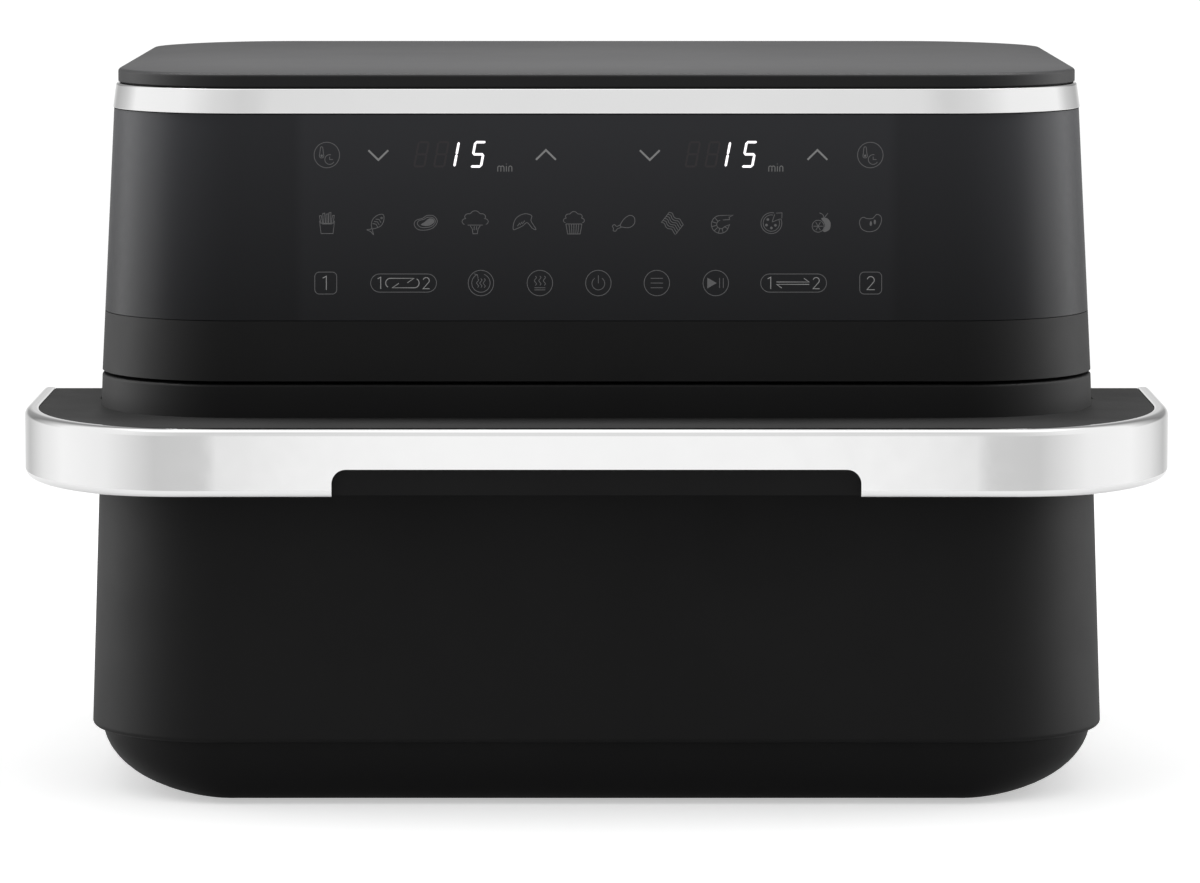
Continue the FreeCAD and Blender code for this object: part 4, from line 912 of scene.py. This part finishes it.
class AIRFRYER_OT_handle_band(bpy.types.Operator):
    """Builds the bright band round the handle, with its turned-in lip and finger cut-out"""

    bl_idname = "airfryer.handle_band"
    bl_label = "Handle Band"

    def execute(self, context):
        sizes = context.scene.air_fryer_sizes
        low, high = HANDLE_LOW.z - BAND_DROP, HANDLE_HIGH.z
        wall, lip, lip_thick = 3.6 * MM, 4.3 * MM, 1.8 * MM
        profile = rounded_profile((
            (wall, low, 0.3 * MM), (0.0, low, sizes.handle_edge), (0.0, high, sizes.handle_edge),
            (lip, high, 0.35 * MM), (lip, high - lip_thick, 0.2 * MM), (wall, high - lip_thick, 0.0)), 7)
        rings = []
        for u, z in profile:
            side = u + max(0.0, u - wall) * 2.2
            corner = (HANDLE_CORNER[0] - side, HANDLE_CORNER[1] - u)
            rings.append(front_path(HANDLE_HIGH.x - side, HANDLE_LOW.y + u, corner, HANDLE_HIGH.y, z))
        piece = skin("handle_bright_band", rings, False, True)
        cut_away(piece, self.cutter(sizes, low))
        shade(piece.data, 34)
        settle(piece, "drawer", FINISHES["bright_trim"], ["handle_band"])
        return {"FINISHED"}

    def cutter(self, sizes, low):
        """A slab whose upper corners are round."""
        x, r, top = sizes.cutout_half_width, sizes.cutout_corner, HANDLE_LOW.z + sizes.cutout_height
        outline = [(x, low - 10 * MM), (x, top - r)]
        for start, cx in ((0, x - r), (90, r - x)):
            turns = [math.radians(start + 10 * k) for k in range(10)]
            outline += [(cx + r * math.cos(t), top - r + r * math.sin(t)) for t in turns]
        outline += [(-x, low - 10 * MM)]
        rings = [[Vector((px, HANDLE_LOW.y + y, pz)) for px, pz in outline] for y in (-5 * MM, 9 * MM)]
        return skin("cutout_cutter", rings, True, False, (0, 1))


class AIRFRYER_OT_trim_band(bpy.types.Operator):
    """Builds the bright band between the housing and the cover"""

    bl_idname = "airfryer.trim_band"
    bl_label = "Trim Band"

    def execute(self, context):
        low, high, edge = TRIM_LOW.z, TRIM_HIGH.z, context.scene.air_fryer_sizes.trim_edge
        wall = 3.5 * MM
        profile = rounded_profile((
            (wall, low, 0.0), (0.0, low, 0.3 * MM), (0.0, high, edge), (wall, high, 0.0)))
        rings = []
        for u, z in profile:
            inset = u + TRIM_LEAN * (z - low) / (high - low)
            corner = (BODY_CORNER[0] - u, BODY_CORNER[1] - u)
            rings.append(full_path(TRIM_HIGH.x - inset, TRIM_LOW.y + inset * 0.6 + u * 0.4,
                                   TRIM_HIGH.y - inset, corner, z))
        piece = skin("trim_bright_band", rings, True, True)
        settle(piece, "housing", FINISHES["bright_trim"], ["chrome_band"])
        return {"FINISHED"}


class AIRFRYER_OT_top_cover(bpy.types.Operator):
    """Builds the top cover with its soft upper edge and gentle crown"""

    bl_idname = "airfryer.top_cover"
    bl_label = "Top Cover"

    def execute(self, context):
        edge = context.scene.air_fryer_sizes.cover_edge
        seat, rim_low = COVER_LOW.z, COVER_LOW.z + 10.9 * MM
        crown = 1.5 * MM
        rim_high = COVER_HIGH.z - crown
        wall, spigot = 5.4 * MM, 2.4 * MM
        shape = [(wall, seat), (spigot, seat), (spigot, rim_low), (0.5 * MM, rim_low),
                 (0.0, rim_low + 0.5 * MM)]
        for k in range(7):
            t = math.pi / 2 * k / 6
            shape.append((edge * (1 - math.cos(t)), rim_high - edge + edge * math.sin(t)))
        for u in (3, 5, 8, 12, 17, 23, 30, 40, 52, 66, 82, 98):
            rise = crown * (1 - math.exp(-(u * MM - edge) / (16 * MM))) / (1 - math.exp(-6))
            shape.append((u * MM, rim_high + min(rise, crown)))
        outer = [self.ring(u, z) for u, z in shape]
        ceiling = rim_high - 1.9 * MM
        inside = ((98 * MM, ceiling), (60 * MM, ceiling), (wall + 3 * MM, ceiling), (wall, ceiling - 3 * MM))
        inner = [self.ring(u, z) for u, z in inside]
        whole = bmesh.new()
        rings = [[whole.verts.new(p) for p in points] for points in outer + inner]
        split = len(outer)
        for first, second in zip(rings, rings[1:] + rings[:1]):
            if first is rings[split - 1]:
                whole.faces.new(first)
                whole.faces.new(second[::-1])
                continue
            for i in range(len(first)):
                j = (i + 1) % len(first)
                whole.faces.new((first[i], first[j], second[j], second[i]))
        bmesh.ops.recalc_face_normals(whole, faces=whole.faces)
        piece = mesh_object("top_cover_shell", whole)
        settle(piece, "housing", FINISHES["cover_plastic"], ["top_cover"])
        return {"FINISHED"}

    def ring(self, inset, z):
        corner = (COVER_CORNER[0] - 0.5 * inset, COVER_CORNER[1] - 0.5 * inset)
        return full_path(COVER_HIGH.x - inset, COVER_LOW.y + inset, COVER_HIGH.y - inset, corner, z)


class AIRFRYER_OT_touch_symbols(bpy.types.Operator):
    """Prints the touch symbols on the fascia"""

    bl_idname = "airfryer.touch_symbols"
    bl_label = "Touch Symbols"

    def execute(self, context):
        stroke = context.scene.air_fryer_sizes.stroke / MM
        top_row, food_row, key_row = 278.9, 250.1, 224.7
        first_x, last_x = -114.2, 116.0
        symbols = placed(draw_timer_heat(), first_x, top_row) + placed(draw_timer_heat(), last_x, top_row)
        foods = (draw_chips, draw_fish, draw_steak, draw_broccoli, draw_wing, draw_muffin, draw_drumstick,
                 draw_bacon, draw_prawn, draw_pizza, draw_fruit, draw_bean)
        for number, draw in enumerate(foods):
            x = first_x + (last_x - first_x) * number / (len(foods) - 1)
            symbols += placed(draw(), x, food_row, 0.94)
        keys = ((draw_key_frame, -114.8), (draw_pill, -81.8), (draw_reheat, -49.0), (draw_keep_warm, -24.0),
                (draw_power, 0.8), (draw_menu, 25.6), (draw_start, 50.6), (draw_pill, 83.6),
                (draw_key_frame, 116.3))
        for draw, x in keys:
            symbols += placed(draw(), x, key_row)
        piece = line_art("touch_symbols", symbols, stroke, 0.03 * MM)
        settle(piece, "housing", FINISHES["symbol_print"])
        figures = placed(digit_one(5.8), -114.8, key_row) + placed(digit_two(5.6), 116.3, key_row)
        for strokes, x in ((draw_sync(), -81.8), (draw_match(), 83.6)):
            ends = placed(digit_one(5.0), -9.9) + placed(digit_two(4.8), 9.6)
            figures += placed(strokes + ends, x, key_row)
        marks = line_art("key_figures", figures, 1.25 * stroke, 0.035 * MM)
        settle(marks, "housing", FINISHES["key_print"])
        arrows = []
        for x, way in ((-92.4, -1), (-21.4, 1), (22.6, -1), (93.6, 1)):
            foot, tip = top_row - 2.0 * way, top_row + 2.1 * way
            arrows.append(line((x - 4.2, foot), (x, tip), (x + 4.2, foot)))
        wide = line_art("touch_arrows", arrows, 0.8, 0.03 * MM)
        settle(wide, "housing", FINISHES["arrow_print"])
        minutes = [mark for x in (-41.8, 73.0) for mark in placed(word_min(2.35), x, top_row - 7.0)]
        words = line_art("minute_marks", minutes, 0.36, 0.03 * MM)
        settle(words, "housing", FINISHES["minute_print"])
        return {"FINISHED"}


class AIRFRYER_OT_display_digits(bpy.types.Operator):
    """Builds the lit and unlit digits of both displays"""

    bl_idname = "airfryer.display_digits"
    bl_label = "Display Digits"

    def execute(self, context):
        height = context.scene.air_fryer_sizes.digit_height / MM
        lean, row = 0.19, 279.2
        for word, last_x in (("left", -50.1), ("right", 64.8)):
            lit, halo, unlit = [], [], []
            for back, keys in FIGURES:
                lit += digit_segments(last_x - back, row, height, lean, keys)
                halo += digit_segments(last_x - back, row, height, lean, keys, 0.3)
            for back in UNLIT_PLACES:
                unlit += digit_segments(last_x - back, row, height, lean, SEGMENTS)
            layers = (("lit_digits", lit, "lit_segment", 0.05), ("digit_halo", halo, "segment_halo", 0.02),
                      ("unlit_digits", unlit, "unlit_segment", 0.02))
            for name, shapes, finish, proud in layers:
                piece = line_art(f"{name}_{word}", shapes, 0.3, proud * MM, 0.04 * MM)
                settle(piece, "housing", FINISHES[finish])
        return {"FINISHED"}


class AIRFRYER_OT_stage(bpy.types.Operator):
    """Builds the floor, the soft surroundings and the camera"""

    bl_idname = "airfryer.stage"
    bl_label = "Stage"

    def execute(self, context):
        stage = context.scene.air_fryer_stage
        context.scene.view_settings.view_transform = "Standard"
        self.floor(stage)
        self.surroundings(context.scene)
        shiny = bpy.data.collections.new("Lit By The Room Only")
        for piece in context.scene.objects:
            looks = [place.material for place in piece.material_slots]
            if FINISHES["bright_trim"] in looks or piece.name == "studio_floor":
                shiny.objects.link(piece)
        for held in shiny.collection_objects:
            held.light_linking.link_state = "EXCLUDE"
        for word, side in (("Left", -1), ("Right", 1)):
            place = (side * 1.47, 0.2, 0.4)
            self.soft_light(f"{word} Soft Light", place, (1.4, 1.3), stage.side_power, shiny)
        self.soft_light("Top Soft Light", (0, -0.10, 0.6), (1.0, 0.06), stage.top_power, shiny)
        camera_data = bpy.data.cameras.new("Front Camera")
        camera_data.lens = stage.lens
        camera_data.sensor_width = 36
        camera_data.clip_end = 100
        camera = bpy.data.objects.new("Front Camera", camera_data)
        camera.location = (stage.camera_x, -stage.distance, stage.height)
        camera.rotation_euler = (math.pi / 2 - stage.pitch, 0, 0)
        context.scene.collection.objects.link(camera)
        context.scene.camera = camera
        return {"FINISHED"}

    def floor(self, stage):
        radius, count = stage.floor_radius, stage.floor_steps
        turns = [2 * math.pi * k / count for k in range(count)]
        rim = [Vector((radius * math.cos(t), radius * math.sin(t), 0)) for t in turns]
        mesh = bmesh.new()
        mesh.faces.new([mesh.verts.new(p) for p in rim])
        piece = mesh_object("studio_floor", mesh)
        material, tree, shader = blank_material("Pale Studio Floor", roughness=0.7, specular=0.1)
        marks = add_group(tree, "Handling Marks", {"Patch Size": 0.4})
        tree.links.new(blend_colours(tree, marks.outputs["Marks"], (0.93, 0.93, 0.93), (0.92, 0.92, 0.92)),
                       shader.inputs["Base Color"])
        seen = tree.nodes.new("ShaderNodeLightPath").outputs["Is Camera Ray"]
        tree.links.new(blend_colours(tree, seen, (0.25, 0.25, 0.25), (1, 1, 1)),
                       shader.inputs["Emission Color"])
        shader.inputs["Emission Strength"].default_value = 0.48
        piece.data.materials.append(material)

    def soft_light(self, name, place, size, power, left_out):
        """An upright or overhead panel light that faces the object and leaves out what mirrors the room."""
        data = bpy.data.lights.new(name, "AREA")
        data.shape = "RECTANGLE"
        data.size, data.size_y = size
        data.energy = power
        lamp = bpy.data.objects.new(name, data)
        lamp.location = place
        aim = Vector((0, 0, LIGHT_AIM))
        lamp.rotation_euler = (aim - Vector(place)).to_track_quat("-Z", "Y").to_euler()
        lamp.visible_camera = False
        lamp.light_linking.receiver_collection = left_out
        bpy.context.scene.collection.objects.link(lamp)

    def surroundings(self, scene):
        """A pale room whose brightness follows the compass bearing from the front."""
        world = bpy.data.worlds.new("White Studio")
        scene.world = world
        world.use_nodes = True
        tree = world.node_tree
        background = tree.nodes["Background"]
        way = tree.nodes.new("ShaderNodeSeparateXYZ")
        tree.links.new(tree.nodes.new("ShaderNodeTexCoord").outputs["Generated"], way.inputs[0])
        flat = math_node(tree, "SQRT", math_node(tree, "ADD", math_node(tree, "POWER", way.outputs["X"], 2.0),
                                                 math_node(tree, "POWER", way.outputs["Y"], 2.0)))
        ahead = math_node(tree, "DIVIDE", math_node(tree, "MULTIPLY", way.outputs["Y"], -1.0),
                          math_node(tree, "MAXIMUM", flat, 1e-4))
        bearing = math_node(tree, "DIVIDE", math_node(tree, "ARCCOSINE", ahead), math.pi)
        low = self.ramp(tree, bearing, ((0, 1.04), (3.4, 1.02), (3.75, 0.66), (30, 0.64), (45, 0.74),
                                        (75, 0.95), (115, 1.02), (135, 0.86), (155, 0.56), (180, 0.9)))
        high = self.ramp(tree, bearing, ((0, 0.83), (3.4, 0.82), (3.8, 0.7), (30, 0.78), (60, 0.96),
                                         (115, 1.0), (132, 0.6), (150, 0.25), (168, 0.35), (180, 0.9)))
        room = tree.nodes.new("ShaderNodeMix")
        tree.links.new(spread(tree, way.outputs["Z"], -0.02, 0.08), room.inputs[0])
        tree.links.new(low, room.inputs[2])
        tree.links.new(high, room.inputs[3])
        overhead = spread(tree, way.outputs["Z"], 0.75, 0.95, 0.0, 0.5)
        light = math_node(tree, "ADD", room.outputs[0], overhead)
        seen = tree.nodes.new("ShaderNodeLightPath").outputs["Is Camera Ray"]
        chosen = tree.nodes.new("ShaderNodeMix")
        tree.links.new(seen, chosen.inputs[0])
        tree.links.new(light, chosen.inputs[2])
        chosen.inputs[3].default_value = 1.05
        tree.links.new(chosen.outputs[0], background.inputs["Strength"])
        background.inputs["Color"].default_value = (1, 1, 1, 1)

    def ramp(self, tree, bearing, stops):
        """Brightness by bearing from straight ahead, in degrees."""
        node = tree.nodes.new("ShaderNodeValToRGB")
        elements = node.color_ramp.elements
        while len(elements) < len(stops):
            elements.new(0.5)
        for element, (degrees, value) in zip(elements, stops):
            element.position = degrees / 180
            element.color = (value, value, value, 1)
        tree.links.new(bearing, node.inputs[0])
        return node.outputs["Color"]


class AIRFRYER_PT_panel(bpy.types.Panel):
    """Lists the pieces of the air fryer"""

    bl_idname = "AIRFRYER_PT_panel"
    bl_label = "Air Fryer"
    bl_space_type = "VIEW_3D"
    bl_region_type = "UI"
    bl_category = "Air Fryer"

    def draw(self, context):
        for step in STEPS:
            self.layout.operator(step.bl_idname)
        scene = context.scene
        for settings in (scene.air_fryer_colours, scene.air_fryer_sizes, scene.air_fryer_stage):
            box = self.layout.box()
            for name in settings.__annotations__:
                box.prop(settings, name)


STEPS = (
    AIRFRYER_OT_finishes,
    AIRFRYER_OT_packed_parts,
    AIRFRYER_OT_drawer_front,
    AIRFRYER_OT_handle_band,
    AIRFRYER_OT_trim_band,
    AIRFRYER_OT_top_cover,
    AIRFRYER_OT_touch_symbols,
    AIRFRYER_OT_display_digits,
    AIRFRYER_OT_stage,
)
CLASSES = (AirFryerColours, AirFryerSizes, AirFryerStage, *STEPS, AIRFRYER_PT_panel)


def register():
    for item in CLASSES:
        bpy.utils.register_class(item)
    bpy.types.Scene.air_fryer_colours = PointerProperty(type=AirFryerColours)
    bpy.types.Scene.air_fryer_sizes = PointerProperty(type=AirFryerSizes)
    bpy.types.Scene.air_fryer_stage = PointerProperty(type=AirFryerStage)


def unregister():
    del bpy.types.Scene.air_fryer_stage
    del bpy.types.Scene.air_fryer_sizes
    del bpy.types.Scene.air_fryer_colours
    for item in reversed(CLASSES):
        bpy.utils.unregister_class(item)


def main():
    register()
    for step in STEPS:
        group, name = step.bl_idname.split(".")
        getattr(getattr(bpy.ops, group), name)()


if __name__ == "__main__":
    main()
